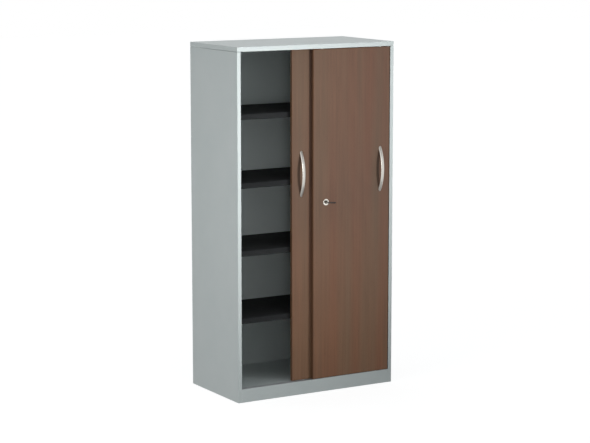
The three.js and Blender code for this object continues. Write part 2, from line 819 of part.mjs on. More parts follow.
// Uprights and clips at the four corners, and the shelves between them
const uprightGeometry = geometryOf(upright());
const clipGeometry = geometryOf(shelfClip());
const shelfGeometry = geometryOf(shelf());
const corners = [
  ["front_left", -uprightFace, shelfFront + uprightInset, 0],
  ["rear_left", -uprightFace, shelfBack - uprightInset, 0],
  ["front_right", uprightFace, shelfFront + uprightInset, Math.PI],
  ["rear_right", uprightFace, shelfBack - uprightInset, Math.PI],
];
for (const [corner, x, y, turn] of corners) {
  piece(cabinet, `upright_${corner}`, uprightGeometry, steel, [x, y, 0], turn);
}
for (let i = 0; i < shelfCount; i++) {
  const top = firstShelf + i * shelfPitch;
  piece(cabinet, `shelf_${i + 1}`, shelfGeometry, finishes.blackSteel, [0, 0, top]);
  for (const [corner, x, y, turn] of corners) {
    const tongue = top - shelfEdge - seat;
    piece(cabinet, `shelf_${i + 1}_clip_${corner}`, clipGeometry, finishes.zincSteel, [x, y, tongue], turn);
  }
}

// A door with everything that it carries; its group stands on the board's bottom edge and front face.
const screwGeometry = geometryOf(handleScrew());
const housingGeometry = geometryOf(rollerHousing());
const wheelGeometry = geometryOf(wheel());
const pinGeometry = geometryOf(guidePin());
const handleGeometry = geometryOf(bowHandle());
function door(side, x, face, handleX, hasLock) {
  const group = new THREE.Group();
  group.name = `${side}_door`;
  group.position.set(x, face, doorBottom);
  const middle = doorThickness / 2;
  const ends = ["a", "b"];
  const levels = ["lower", "upper"];
  piece(group, `${side}_door_panel`, geometryOf(doorBoard(handleX, hasLock)), finishes.walnut);
  const handleZ = handleHeight - doorBottom;
  piece(group, `${side}_handle`, handleGeometry, finishes.satinNickel, [handleX, -seat, handleZ]);
  screwPlaces.forEach((z, i) => {
    piece(group, `${side}_handle_screw_${levels[i]}`, screwGeometry, finishes.zincSteel, [handleX, 0, z]);
  });
  const { zincSteel, whiteNylon } = finishes;
  rollerPlaces.forEach((place, i) => {
    piece(group, `${side}_roller_housing_${ends[i]}`, housingGeometry, zincSteel, [place, middle, 0]);
    piece(group, `${side}_wheel_${ends[i]}`, wheelGeometry, whiteNylon, [place, middle, axleHeight]);
  });
  pinPlaces.forEach((place, i) => {
    piece(group, `${side}_guide_pin_${ends[i]}`, pinGeometry, whiteNylon, [place, middle, doorHeight]);
  });
  cabinet.add(group);
  return group;
}
const leftDoor = door("left", leftDoorX, rearDoorFace, handleInset - doorWidth / 2, false);
const rightDoor = door("right", rightDoorX, frontDoorFace, doorWidth / 2 - handleInset, true);
piece(leftDoor, "strike_plate", geometryOf(strikePlate()), finishes.zincSteel, [doorWidth / 2, 0, lockZ]);

// Lock and key, on one axis through the front door
const lock = new THREE.Group();
lock.name = "lock";
lock.position.set(lockX, 0, lockZ);
rightDoor.add(lock);
piece(lock, "lock_housing", geometryOf(lockHousing()), finishes.chrome);
piece(lock, "lock_core", geometryOf(lockCore()), finishes.chrome);
piece(lock, "lock_bolt", geometryOf(lockBolt()), finishes.zincSteel);
piece(lock, "key_blade", geometryOf(keyBlade()), finishes.satinNickel, [0, -keyHinge, 0]);
piece(lock, "key_grip", geometryOf(keyGrip()), finishes.blackPlastic, [0, -keyHinge, 0], gripAngle);

export default cabinet;
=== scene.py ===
# %% [markdown]
# A sliding door cabinet, dressed for its picture.
#
# The cabinet is a folded steel carcass with black shelves and two wood-patterned doors. Its working parts
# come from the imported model, at their true size. This script gives every piece its finish, and makes the
# pieces that show most once more, with finer folds, rounder edges and smoother curves. Each step says what
# the piece is on the real cabinet, how it could be made, and why this way was chosen.

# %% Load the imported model
import json
import math

import bmesh
import bpy
from mathutils import Matrix, Vector


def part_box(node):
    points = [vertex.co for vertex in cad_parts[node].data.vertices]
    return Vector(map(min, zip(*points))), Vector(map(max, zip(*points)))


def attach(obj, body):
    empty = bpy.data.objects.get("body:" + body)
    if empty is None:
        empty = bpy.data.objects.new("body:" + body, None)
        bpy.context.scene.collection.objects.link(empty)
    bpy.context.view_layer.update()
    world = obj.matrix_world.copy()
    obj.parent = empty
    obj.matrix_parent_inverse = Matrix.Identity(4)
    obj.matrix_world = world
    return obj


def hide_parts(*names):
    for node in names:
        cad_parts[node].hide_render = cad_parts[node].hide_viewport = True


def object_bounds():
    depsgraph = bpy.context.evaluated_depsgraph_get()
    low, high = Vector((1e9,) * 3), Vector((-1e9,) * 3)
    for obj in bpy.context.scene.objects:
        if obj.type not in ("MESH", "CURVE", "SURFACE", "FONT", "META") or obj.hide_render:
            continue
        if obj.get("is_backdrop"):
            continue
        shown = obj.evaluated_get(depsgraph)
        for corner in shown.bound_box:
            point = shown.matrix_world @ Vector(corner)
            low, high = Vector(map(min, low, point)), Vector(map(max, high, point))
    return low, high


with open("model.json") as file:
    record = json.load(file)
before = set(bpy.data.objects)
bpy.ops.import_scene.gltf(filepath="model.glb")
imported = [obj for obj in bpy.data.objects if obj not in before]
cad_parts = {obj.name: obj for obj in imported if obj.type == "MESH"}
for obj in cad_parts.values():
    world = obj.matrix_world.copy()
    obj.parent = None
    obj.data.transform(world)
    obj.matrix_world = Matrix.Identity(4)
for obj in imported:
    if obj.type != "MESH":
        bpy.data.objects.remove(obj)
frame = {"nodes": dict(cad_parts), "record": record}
cad_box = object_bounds()
print("size in mm:", [round(1000 * side) for side in cad_box[1] - cad_box[0]])

# %% [markdown]
# Lengths are written in millimetres, as on a workshop drawing, and MM turns them to Blender's metres.
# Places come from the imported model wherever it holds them, so that the looks follow the model. The few
# sizes below are the ones that a bounding box can't tell, such as how thick the sheet is.

# %% Sizes that the finer pieces share
MM = 0.001
SEAT = 0.3 * MM            # clearance between pieces that rest on each other
TINY = 0.01 * MM           # two places closer than this are the same
SHEET = 1.0 * MM           # steel sheet
HALF_SHEET = SHEET / 2     # a folded outline follows the middle of the sheet
FOLD = 1.5 * MM            # outside radius of a pressed edge
SHELF_PLAY = 2 * MM        # between the back of the stiles and the shelves

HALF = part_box("right_side_panel")[1].x
FRONT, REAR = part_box("right_side_panel")[0].y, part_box("right_side_panel")[1].y
SIDE_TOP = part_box("right_side_panel")[1].z
TOP_LOW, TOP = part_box("top_panel")[0].z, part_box("top_panel")[1].z
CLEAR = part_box("bottom_track")[1].x + SEAT
STILE_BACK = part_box("shelf_1")[0].y - SHELF_PLAY
FACES = {side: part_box(f"{side}_door_panel")[0].y for side in ("left", "right")}
LOCK = (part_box("lock_housing")[0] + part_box("lock_housing")[1]) / 2
print("stiles are", round((HALF - CLEAR) / MM, 2), "mm wide")


# %% [markdown]
# Colours are written as they are picked on a screen, in sRGB hex. Blender's shaders count in linear
# light, so one function turns them round.

# %% Colours
def linear(code):
    """An sRGB hex colour as linear RGBA."""
    channels = [int(code[i:i + 2], 16) / 255 for i in (0, 2, 4)]
    return [c / 12.92 if c <= 0.04045 else ((c + 0.055) / 1.055) ** 2.4 for c in channels] + [1.0]


print("middle grey 808080 is", round(linear("808080")[0], 3), "in linear light")


# %% [markdown]
# Materials, the world and the shapes that follow a rule are all trees of nodes, so one function adds every
# node. It sets the node's options and fills its inputs. An input takes a plain value, a socket, or a whole
# node, which then gives its first result.

# %% Nodes
def feed(tree, node, inputs):
    """Fills a node's inputs, by name or number, each with a value, a socket or another node."""
    for key, value in inputs.items():
        named = [socket for socket in node.inputs if socket.enabled and socket.name == key]
        socket = named[0] if named else node.inputs[key]
        if isinstance(value, bpy.types.Node):
            value = next(result for result in value.outputs if result.enabled)
        if isinstance(value, bpy.types.NodeSocket):
            tree.links.new(value, socket)
        else:
            socket.default_value = value


def add(tree, kind, inputs=None, **settings):
    """Adds one node with its settings, and fills its inputs."""
    node = tree.nodes.new(kind)
    for key, value in settings.items():
        setattr(node, key, value)
    feed(tree, node, inputs or {})
    return node


MATH = "ShaderNodeMath"    # the kind that is added most


# %% [markdown]
# The camera stands to the left of the front, a little above the top, far away with a long lens. Its place
# was found by fitting the corners, handles, lock and door edges of the model to the picture, which is
# 590 by 443 pixels.

# %% Camera
PICTURE_WIDTH = 590
FOCAL_PIXELS = 1942.2
SENSOR_WIDTH = 36.0
CAMERA_PLACE = Vector((-5507.7, -9325.0, 2648.8)) * MM
CAMERA_TURN = math.radians(30.581)     # to the right of straight at the front
CAMERA_DOWN = math.radians(8.981)
CAMERA_SIGHT = 100                     # how far it sees, in metres

scene = bpy.context.scene
camera = bpy.data.objects.new("camera", bpy.data.cameras.new("camera"))
scene.collection.objects.link(camera)
camera.data.sensor_width = SENSOR_WIDTH
camera.data.lens = FOCAL_PIXELS * SENSOR_WIDTH / PICTURE_WIDTH
camera.location = CAMERA_PLACE
camera.rotation_euler = (math.pi / 2 - CAMERA_DOWN, 0, -CAMERA_TURN)
camera.data.clip_end = CAMERA_SIGHT
scene.camera = camera
print("lens in mm:", round(camera.data.lens, 2))

# %% [markdown]
# Studio light. A soft lamp from the front right throws the short shadows to the left of the handles and
# of the front door. It is aimed at the upper left of the front, so that the light falls off towards the
# floor and to the right, as in the picture. It isn't seen in reflections, because the doors would mirror
# it to the camera. A wide lamp on the left lights the side, and a weak one beside the camera reaches the
# back of the shelves. Places are in metres here.

# %% Lamps
scene.view_settings.view_transform = "Standard"


def lamp(name, place, aim, size, watts, reach=180.0, mirrored=True):
    """A square area lamp that looks from a place to an aim. Its reach is an angle in degrees."""
    data = bpy.data.lights.new(name, "AREA")
    data.size = size
    data.energy = watts
    data.spread = math.radians(reach)
    obj = bpy.data.objects.new(name, data)
    obj.location = place
    obj.rotation_mode = "QUATERNION"
    obj.rotation_quaternion = (Vector(aim) - Vector(place)).to_track_quat("-Z", "Y")
    obj.visible_glossy = mirrored
    scene.collection.objects.link(obj)
    print(name, "gives", watts, "W")


def before_the_front(distance, turn, height):
    """A place this far from the middle of the front, turned away from straight before it."""
    return distance * math.sin(turn), FRONT - distance * math.cos(turn), height


KEY_TURN = math.radians(30)            # to the right of the front, seen from the cabinet
key_place = before_the_front(distance=7.0, turn=KEY_TURN, height=1.3)
lamp("key_lamp", key_place, aim=(-0.76, FRONT, 1.8), size=0.9, watts=21.4, reach=33, mirrored=False)
lamp("side_lamp", place=(-4.2, -1.5, 1.4), aim=(-HALF, 0, 1.2), size=1.6, watts=45)
fill_place = before_the_front(distance=5.2, turn=-CAMERA_TURN, height=1.35)
lamp("fill_lamp", fill_place, aim=(-0.1, REAR, 1.12), size=0.8, watts=0.68, reach=26)


# %% [markdown]
# The world fills the shadows with a faint bluish white. Where the camera or a reflection looks past the
# cabinet, it is plain white instead. A Light Path node tells the two apart, so the background can be white
# and yet throw no more light on the cabinet.

# %% World
def seen_share(tree):
    """1 where the eye looks, straight, in a mirror or through glass, and 0 where light falls."""
    path = add(tree, "ShaderNodeLightPath")
    seen = path.outputs["Is Camera Ray"]
    for ray in ("Is Glossy Ray", "Is Transmission Ray"):
        seen = add(tree, MATH, {0: seen, 1: path.outputs[ray]}, operation="MAXIMUM")
    return seen


AMBIENT = 0.6
world = bpy.data.worlds.new("studio")
scene.world = world
world.use_nodes = True
tree = world.node_tree
tree.nodes.clear()
ambient = add(tree, "ShaderNodeBackground", {"Color": linear("F4F8FA"), "Strength": AMBIENT})
white = add(tree, "ShaderNodeBackground", {"Color": linear("FFFFFF"), "Strength": 1.0})
both = add(tree, "ShaderNodeMixShader", {0: seen_share(tree), 1: ambient, 2: white})
add(tree, "ShaderNodeOutputWorld", {"Surface": both})
print("the world lights at", AMBIENT, "and shows at 1")


# %% [markdown]
# The floor is a plain pale sheet. To the eye it is nearly white on its own, and the part of it that is a
# matt surface keeps the cabinet's soft shadow. To the light it is a dark grey, so that it doesn't brighten
# the plinth from below.

# %% Floor
def empty_material(name):
    made = bpy.data.materials.new(name)
    made.use_nodes = True
    made.node_tree.nodes.clear()
    return made, made.node_tree


def box_outline(a0, a1, b0, b1):
    return [(a0, b0), (a1, b0), (a1, b1), (a0, b1)]


def stage_sheet(name, outline, height, paint):
    """A flat, level sheet that belongs to the studio and not to the cabinet."""
    bm = bmesh.new()
    bm.faces.new([bm.verts.new((x, y, height)) for x, y in outline])
    mesh = bpy.data.meshes.new(name)
    bm.to_mesh(mesh)
    bm.free()
    mesh.materials.append(paint)
    obj = bpy.data.objects.new(name, mesh)
    scene.collection.objects.link(obj)
    obj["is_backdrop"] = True
    return obj


FLOOR_REACH = 30.0         # metres to each side
GLOW = 1.2
SHADOW_SHARE = 0.3
floor_paint, tree = empty_material("pale_floor")
paper = add(tree, "ShaderNodeBsdfDiffuse", {"Color": linear("FFFFFF")})
glow = add(tree, "ShaderNodeEmission", {"Color": linear("FFFFFF"), "Strength": GLOW})
pale = add(tree, "ShaderNodeMixShader", {0: 1 - SHADOW_SHARE, 1: paper, 2: glow})
dark = add(tree, "ShaderNodeBsdfDiffuse", {"Color": linear("383838")})
both = add(tree, "ShaderNodeMixShader", {0: seen_share(tree), 1: dark, 2: pale})
add(tree, "ShaderNodeOutputMaterial", {"Surface": both})
floor_outline = box_outline(-FLOOR_REACH, FLOOR_REACH, -FLOOR_REACH, FLOOR_REACH)
floor = stage_sheet("floor", floor_outline, 0.0, floor_paint)
print("floor is", round(floor.dimensions.x), "m wide")

# %% [markdown]
# Two grey cards, one on the floor before the cabinet and one overhead, show in reflections only. In an all
# white room polished metal looks flat. The cards give the handles darker ends, as in the picture, and keep
# the colour of the doors deep towards the foot. Each one is given in metres: its left and right side from
# the middle, its far and near side from the front, and its height.

# %% Grey cards
CARDS = {"floor_card": (-1.4, 2.2, 1.7, 0.12, MM), "ceiling_card": (-2.0, 3.5, 4.5, 0.7, 3.2)}
card_paint, tree = empty_material("grey_card")
plain = add(tree, "ShaderNodeEmission", {"Color": linear("A6A6A6"), "Strength": 1.0})
add(tree, "ShaderNodeOutputMaterial", {"Surface": plain})
for name, (left, right, far, near, height) in CARDS.items():
    card = stage_sheet(name, box_outline(left, right, FRONT - far, FRONT - near), height, card_paint)
    card.visible_camera = False
    card.visible_diffuse = False
    card.visible_shadow = False
    print(name, "measures", [round(side, 2) for side in card.dimensions[:2]], "m")


# %% [markdown]
# Every finish has one Principled shader. What makes it look real is that nothing on it is quite even. So
# each one starts from a noise whose cells are given in millimetres on the piece itself. That pattern then
# moves the colour between two tones, the roughness between two values, or the height by a fraction of a
# millimetre. An image could do this too, but a noise has no seams and stays sharp in a near view.

# %% Patterns for the finishes
MIDDLE = {"From Min": 0.3, "From Max": 0.7}     # noise seldom leaves this range
NOISE_ROUGHNESS = 0.55


def material(name, base, roughness, metallic=0.0):
    """A material with one Principled shader, and the object's own coordinates to paint on."""
    made, tree = empty_material(name)
    shader = add(tree, "ShaderNodeBsdfPrincipled", {"Base Color": linear(base), "Roughness": roughness,
                                                    "Metallic": metallic})
    add(tree, "ShaderNodeOutputMaterial", {"Surface": shader})
    print("finish:", name)
    return made, tree, shader, add(tree, "ShaderNodeTexCoord").outputs["Object"]


def grain(tree, spot, x, y, z, detail=2.0, shift=(0.0, 0.0, 0.0)):
    """Noise whose cells measure x, y and z millimetres."""
    scale = (1 / (x * MM), 1 / (y * MM), 1 / (z * MM))
    place = add(tree, "ShaderNodeMapping", {"Vector": spot, "Scale": scale, "Location": shift})
    return add(tree, "ShaderNodeTexNoise", {"Vector": place, "Scale": 1.0, "Detail": detail,
                                            "Roughness": NOISE_ROUGHNESS})


def vary(tree, shader, pattern, tones=None, roughness=None, depth=None):
    """Lets a pattern move the colour between two tones, the roughness between two values, or the height
    by a depth in millimetres."""
    if tones:
        share = add(tree, "ShaderNodeMapRange", {"Value": pattern, **MIDDLE})
        tone = add(tree, "ShaderNodeMix", {"Factor": share, "A": linear(tones[0]), "B": linear(tones[1])},
                   data_type="RGBA")
        feed(tree, shader, {"Base Color": tone})
    if roughness:
        gloss = add(tree, "ShaderNodeMapRange", {"Value": pattern, **MIDDLE, "To Min": roughness[0],
                                                 "To Max": roughness[1]})
        feed(tree, shader, {"Roughness": gloss})
    if depth:
        bump = add(tree, "ShaderNodeBump", {"Height": pattern, "Distance": depth * MM, "Strength": 1.0})
        feed(tree, shader, {"Normal": bump})


# %% [markdown]
# The carcass is steel with a baked powder coat. Powder flows out to a satin skin that is never quite
# flat: the eye sees a faint orange peel in the reflections. The real ripple is about 1.5 mm across. It is
# drawn at 3 mm, so that it shows in a near view, and the colour drifts by a few parts in a hundred.

# %% Powder coat, light grey
CLOUD = 260                # mm, slow drift of the colour
PATCH = 35                 # mm, drift of the gloss
GLOSS_DRIFT = 0.04


def powder_coat(name, tones, roughness, ripple, depth, specular):
    made, tree, shader, spot = material(name, tones[1], roughness)
    feed(tree, shader, {"Specular IOR Level": specular})
    vary(tree, shader, grain(tree, spot, CLOUD, CLOUD, CLOUD), tones=tones)
    drift = (roughness - GLOSS_DRIFT, roughness + GLOSS_DRIFT)
    vary(tree, shader, grain(tree, spot, PATCH, PATCH, PATCH), roughness=drift)
    vary(tree, shader, grain(tree, spot, ripple, ripple, ripple), depth=depth)
    return made


grey_powder = powder_coat("powder_coated_steel_grey", ("C2CAC9", "C6CDCC"), roughness=0.42, ripple=3.0,
                          depth=0.02, specular=0.5)

# %% [markdown]
# The shelves have a matt black coat with a fine texture that hides scratches. Its grains are about 0.5 mm
# wide and are drawn at 1.2 mm. The shader's specular level is low, because the texture breaks up the shine
# and a shelf seen at a flat angle stays deep black.

# %% Powder coat, black
black_powder = powder_coat("powder_coated_steel_black", ("1F2021", "262728"), roughness=0.8, ripple=1.2,
                           depth=0.05, specular=0.2)


# %% [markdown]
# The doors are chipboard under melamine: a printed walnut pattern pressed into a hard satin skin, with
# the grain upright. Broad bands change the ground from olive to reddish brown. Painted light is laid on it:
# the ground is painted darker and greyer at the head and lighter and warmer at the foot, as in the picture,
# to make up for the lamps' light that falls off towards the floor. A faint arched figure lies over it,
# because flat-sawn boards are cut through cones of growth rings: it comes from the distance to a line that
# wanders up the board.

# %% Walnut, ground and figure
# Painted light: the head tones are darker and greyer and the foot tones lighter and warmer, to make up for
# the lamps' light falling off towards the floor.
HEAD_TONES_PAINTED_DARKER = ("5F4B3C", "654738")
FOOT_TONES_PAINTED_LIGHTER = ("795D46", "80573F")
PAINTED_LIGHT_SPAN = {"From Min": 1.1, "From Max": 0.15}     # metres above the floor, where the drift starts and ends
RINGS_PER_METRE = 2.2
STEEPNESS = 7.0            # of the arches, from the middle line to the sides
WANDER = 0.11              # metres that the middle line strays to either side
UNEVEN = 6.0               # how far the streaks push the rings about, in radians
FAINT = {"To Min": 0.975, "To Max": 1.02}


def ground_tone_with_painted_light(tree, axes, band):
    """The colour of the board at one place, painted darker at the head and lighter and warmer at the foot as
    painted light.
    """
    share = add(tree, "ShaderNodeMapRange", {"Value": band, **MIDDLE})
    ends = [add(tree, "ShaderNodeMix", {"Factor": share, "A": linear(olive), "B": linear(red)},
                data_type="RGBA") for olive, red in (HEAD_TONES_PAINTED_DARKER, FOOT_TONES_PAINTED_LIGHTER)]
    # painted light: goes from the head tones to the foot tones as the board nears the floor
    foot = add(tree, "ShaderNodeMapRange", {"Value": axes.outputs["Z"], **PAINTED_LIGHT_SPAN})
    return add(tree, "ShaderNodeMix", {"Factor": foot, "A": ends[0], "B": ends[1]}, data_type="RGBA")


def arched_figure(tree, axes, bend, streak):
    """Growth rings cut at a slant, as a faint factor on the colour."""
    wander = add(tree, "ShaderNodeMapRange", {"Value": bend, **MIDDLE, "To Min": -WANDER, "To Max": WANDER})
    across = add(tree, MATH, {0: axes.outputs["X"], 1: wander}, operation="ADD")
    square = add(tree, MATH, {0: across, 1: across}, operation="MULTIPLY")
    cone = add(tree, MATH, {0: square, 1: STEEPNESS, 2: axes.outputs["Z"]}, operation="MULTIPLY_ADD")
    push = add(tree, MATH, {0: streak, 1: UNEVEN}, operation="MULTIPLY")
    rings = add(tree, MATH, {0: cone, 1: 2 * math.pi * RINGS_PER_METRE, 2: push}, operation="MULTIPLY_ADD")
    wave = add(tree, MATH, {0: rings}, operation="SINE")
    return add(tree, "ShaderNodeMapRange", {"Value": wave, "From Min": -1.0, **FAINT})


print("rings are", round(1000 / RINGS_PER_METRE), "mm apart up the board")


# %% [markdown]
# Streaks, fine fibres and short dark pores are laid over the ground, all drawn out along Z. Each one
# darkens or lightens the colour by a few parts in a hundred. The fibres also vary the gloss, and the pores
# are pressed in a little. Each door has its own shift of the patterns, so that no two boards are alike.

# %% Walnut melamine
PORES = {"From Min": 0.66, "From Max": 0.74, "To Min": 1.0, "To Max": 0.66}     # only the noise's peaks


def walnut(name, shift):
    made, tree, shader, spot = material(name, "6B4E3C", 0.42)
    feed(tree, shader, {"Specular IOR Level": 0.46})
    axes = add(tree, "ShaderNodeSeparateXYZ", {0: spot})
    band = grain(tree, spot, 80, 300, 1800, detail=1.5, shift=shift)
    bend = grain(tree, spot, 400, 400, 700, detail=1.0, shift=shift)
    streak = grain(tree, spot, 14, 60, 700, detail=3.0, shift=shift)
    fibre = grain(tree, spot, 1.6, 20, 160, shift=shift)
    pore = grain(tree, spot, 0.9, 9, 26, detail=1.0, shift=shift)
    pits = add(tree, "ShaderNodeMapRange", {"Value": pore, **PORES})
    shades = [add(tree, "ShaderNodeMapRange", {"Value": lines, **MIDDLE, "To Min": low, "To Max": high})
              for lines, low, high in ((streak, 0.91, 1.08), (fibre, 0.93, 1.06))]
    tone = ground_tone_with_painted_light(tree, axes, band)
    for shade in (*shades, arched_figure(tree, axes, bend, streak), pits):
        tone = add(tree, "ShaderNodeVectorMath", {0: tone, "Scale": shade}, operation="SCALE")
    feed(tree, shader, {"Base Color": tone})
    vary(tree, shader, fibre, roughness=(0.38, 0.46))
    vary(tree, shader, pits, depth=0.05)
    return made


board_finishes = {"left": walnut("walnut_melamine_left", (3.7, 0.0, 1.3)),
                  "right": walnut("walnut_melamine_right", (5.3, 0.0, 0.0))}

# %% [markdown]
# The doors' edges are covered with a 3 mm plastic band in a plain dark brown. The raw board shows only
# inside its bores and cut-outs, as coarse flakes pressed together.

# %% Edge band and raw board
edge_band, tree, shader, spot = material("brown_abs_edge_band", "5C402B", 0.45)
vary(tree, shader, grain(tree, spot, 3, 3, 320), tones=("563A26", "624530"))

raw_board, tree, shader, spot = material("raw_chipboard", "A98A63", 0.9)
flakes = grain(tree, spot, 1.6, 1.6, 1.6, detail=4.0)
vary(tree, shader, flakes, tones=("7C6243", "C4A57B"))
steps = add(tree, "ShaderNodeMapRange", {"Value": flakes, **MIDDLE})
vary(tree, shader, steps, depth=0.15)


# %% [markdown]
# The metals. The handles are zinc castings with a satin nickel coat, brushed along the bow. The lock's
# ring is satin chrome, and its core is nickel painted dark: painted shade, in place of the shade of a deeper
# recess. Clips, housings and screws are zinc plated, with a cloudy shine between bluish and straw. The rail
# and the channel are aluminium extrusions with faint die lines along X. The key is nickel plated. Metals
# keep the default IOR, and differ in colour, roughness and the direction of their lines.

# %% Metals
def metal(name, tones, roughness, cell, depth):
    """A metal with faint lines whose cells measure x, y and z millimetres."""
    made, tree, shader, spot = material(name, tones[1], sum(roughness) / 2, metallic=1.0)
    vary(tree, shader, grain(tree, spot, *cell, detail=3.0), tones, roughness, depth)
    return made


satin_nickel = metal("satin_nickel_plated_zinc", ("CCC9C2", "DAD7D0"), (0.26, 0.34), (0.5, 0.5, 30), 0.003)
chrome = metal("satin_chrome", ("EEE9DF", "F6F1E7"), (0.16, 0.22), (6, 6, 6), 0.002)
# painted shade: the core's nickel is coloured dark, as a deeper recess would be shaded
core_nickel_painted_shade = metal("burnished_nickel", ("3B3833", "48443E"), (0.3, 0.4), (4, 4, 4), 0.003)
zinc = metal("bright_zinc_plate", ("A7ACB2", "BDBBB2"), (0.3, 0.42), (7, 7, 7), 0.006)
aluminium = metal("mill_finish_aluminium", ("B4B7B9", "C6C8CA"), (0.34, 0.46), (220, 1.2, 1.2), 0.01)
key_nickel = metal("nickel_plated_steel", ("B0ACA4", "C4C0B8"), (0.2, 0.3), (4, 18, 4), 0.005)


# %% [markdown]
# The plastics. The wheels and guide pins are moulded nylon, a waxy off-white. The key's grip is black ABS
# with the fine spark-eroded texture of its mould, drawn at 0.9 mm. The stop and the seals are matt rubber.

# %% Plastics
def plastic(name, tones, roughness, texture, depth):
    made, tree, shader, spot = material(name, tones[1], roughness)
    vary(tree, shader, grain(tree, spot, texture, texture, texture), tones=tones, depth=depth)
    return made


nylon = plastic("moulded_nylon", ("DAD6C8", "E4E1D6"), roughness=0.48, texture=5.0, depth=0.01)
black_abs = plastic("moulded_black_abs", ("191919", "222223"), roughness=0.42, texture=0.9, depth=0.02)
rubber = plastic("moulded_rubber", ("242424", "2E2E2E"), roughness=0.8, texture=1.5, depth=0.03)

# %% [markdown]
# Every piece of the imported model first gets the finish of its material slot. The pieces whose shape is
# already right keep it and need nothing more.

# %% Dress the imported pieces
finishes = {"painted_steel": grey_powder, "black_steel": black_powder, "zinc_steel": zinc,
            "aluminium": aluminium, "rubber": rubber, "walnut": board_finishes["right"],
            "satin_nickel": satin_nickel, "white_nylon": nylon, "chrome": chrome,
            "nickel_steel": key_nickel, "black_plastic": black_abs}
slots = {part["node"]: part["material_slot"] for part in frame["record"]["subparts"]}
for name, obj in frame["nodes"].items():
    obj.data.materials.clear()
    obj.data.materials.append(finishes[slots[name]])
print("dressed", len(slots), "pieces in", len(set(slots.values())), "finishes")


# %% [markdown]
# A shape is gathered in a bmesh, given outward faces, and shaded smooth with its hard edges kept. A
# weighted normal keeps large flat faces flat beside small round ones. A finished piece is hung on the body it
# rides on, and the imported pieces that it stands for are hidden.

# %% From a bmesh to a finished piece
SHARP = math.radians(40)   # an edge that turns more than this stays hard


def sheet_of(bm, name, *coats):
    """Turns a bmesh into an object with its coats."""
    bmesh.ops.recalc_face_normals(bm, faces=bm.faces)
    mesh = bpy.data.meshes.new(name)
    bm.to_mesh(mesh)
    bm.free()
    mesh.shade_smooth()
    mesh.set_sharp_from_angle(angle=SHARP)
    for coat in coats:
        mesh.materials.append(coat)
    obj = bpy.data.objects.new(name, mesh)
    scene.collection.objects.link(obj)
    return obj


def even_shading(obj):
    shading = obj.modifiers.new("flat_faces", "WEIGHTED_NORMAL")
    shading.keep_sharp = True


def stand_in(obj, body, slot, *nodes):
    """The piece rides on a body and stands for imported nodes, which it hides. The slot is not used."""
    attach(obj, body)
    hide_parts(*nodes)
    print(obj.name, "rides on", body)


def baked(obj):
    """Applies an object's modifiers by taking its evaluated mesh."""
    depsgraph = bpy.context.evaluated_depsgraph_get()
    mesh = bpy.data.meshes.new_from_object(obj.evaluated_get(depsgraph))
    obj.modifiers.clear()
    obj.data = mesh
    return obj


# %% [markdown]
# Most pieces are one of two kinds: a bar, which is an outline run along an axis, or a body turned about an
# axis. The bar comes first. An Extrude could make it too, but then its ends would need a second step.

# %% Bars
def prism_into(bm, outline, axis, low, high):
    """Adds a bar to a bmesh: an outline, in the two other axes in the order X, Y, Z, along an axis."""
    at = "xyz".index(axis)
    ends = [[bm.verts.new((*spot[:at], t, *spot[at:])) for spot in outline] for t in (low, high)]
    for i in range(len(outline)):
        j = (i + 1) % len(outline)
        bm.faces.new([ends[0][i], ends[0][j], ends[1][j], ends[1][i]])
    bm.faces.new(ends[0][::-1])
    bm.faces.new(ends[1])


# %% [markdown]
# Folded sheet metal is a bar as well, once its folds are drawn. The path is the middle of the sheet, and at
# each corner it goes round the fold's hub in small steps. Half the sheet's thickness is then laid off to
# either side.

# %% Folded sheet
FOLD_STEPS = 6


def folded(path, thickness, inside):
    """The outline of a sheet folded along a path of points, with this radius inside each fold."""
    spots = [Vector(p) for p in path]
    heads = [(b - a).normalized() for a, b in zip(spots, spots[1:])]
    left = [Vector((-h.y, h.x)) for h in heads]
    line = [(spots[0], left[0])]
    for i in range(1, len(spots) - 1):
        turn = -heads[i - 1].angle_signed(heads[i])
        radius = math.copysign(inside + thickness / 2, turn)
        hub = spots[i] - heads[i - 1] * radius * math.tan(turn / 2) + left[i - 1] * radius
        for k in range(FOLD_STEPS + 1):
            angle = turn * k / FOLD_STEPS
            c, s = math.cos(angle), math.sin(angle)
            normal = Vector((left[i - 1].x * c - left[i - 1].y * s, left[i - 1].x * s + left[i - 1].y * c))
            line.append((hub - normal * radius, normal))
    line.append((spots[-1], left[-1]))
    upper = [tuple(p + n * thickness / 2) for p, n in line]
    lower = [tuple(p - n * thickness / 2) for p, n in line]
    return upper + lower[::-1]


print("a fold is drawn in", FOLD_STEPS, "steps")

# %% [markdown]
# Each side of the carcass is one sheet, folded in at the front into a stile that stands beside the doors
# and folded in at the rear into a flange. It could be a bent plane with a Solidify modifier. Here the
# folded edge is drawn once as an outline and run up the height, because that is how a press brake makes
# it, and the radius of each fold stays true. The sheet ends a little short of the cap, and the joint shows
# as a dark line.

# %% Side panels
REAR_FLANGE = 20 * MM
STILE_RETURN = HALF - 3 * MM           # the fold behind the stile ends just before the side
JOINT = 1.2 * MM
route = [(HALF - REAR_FLANGE, REAR - HALF_SHEET), (HALF - HALF_SHEET, REAR - HALF_SHEET),
         (HALF - HALF_SHEET, FRONT + HALF_SHEET), (CLEAR + HALF_SHEET, FRONT + HALF_SHEET),
         (CLEAR + HALF_SHEET, STILE_BACK - HALF_SHEET), (STILE_RETURN, STILE_BACK - HALF_SHEET)]
for side, sign in (("left", -1), ("right", 1)):
    outline = [(sign * x, y) for x, y in folded(route, SHEET, FOLD - SHEET)]
    bm = bmesh.new()
    prism_into(bm, outline, "z", 0, SIDE_TOP - JOINT)
    panel = sheet_of(bm, f"{side}_side", grey_powder)
    even_shading(panel)
    stand_in(panel, "carcass", "painted_steel", f"{side}_side_panel")
print("side outline has", len(outline), "points")
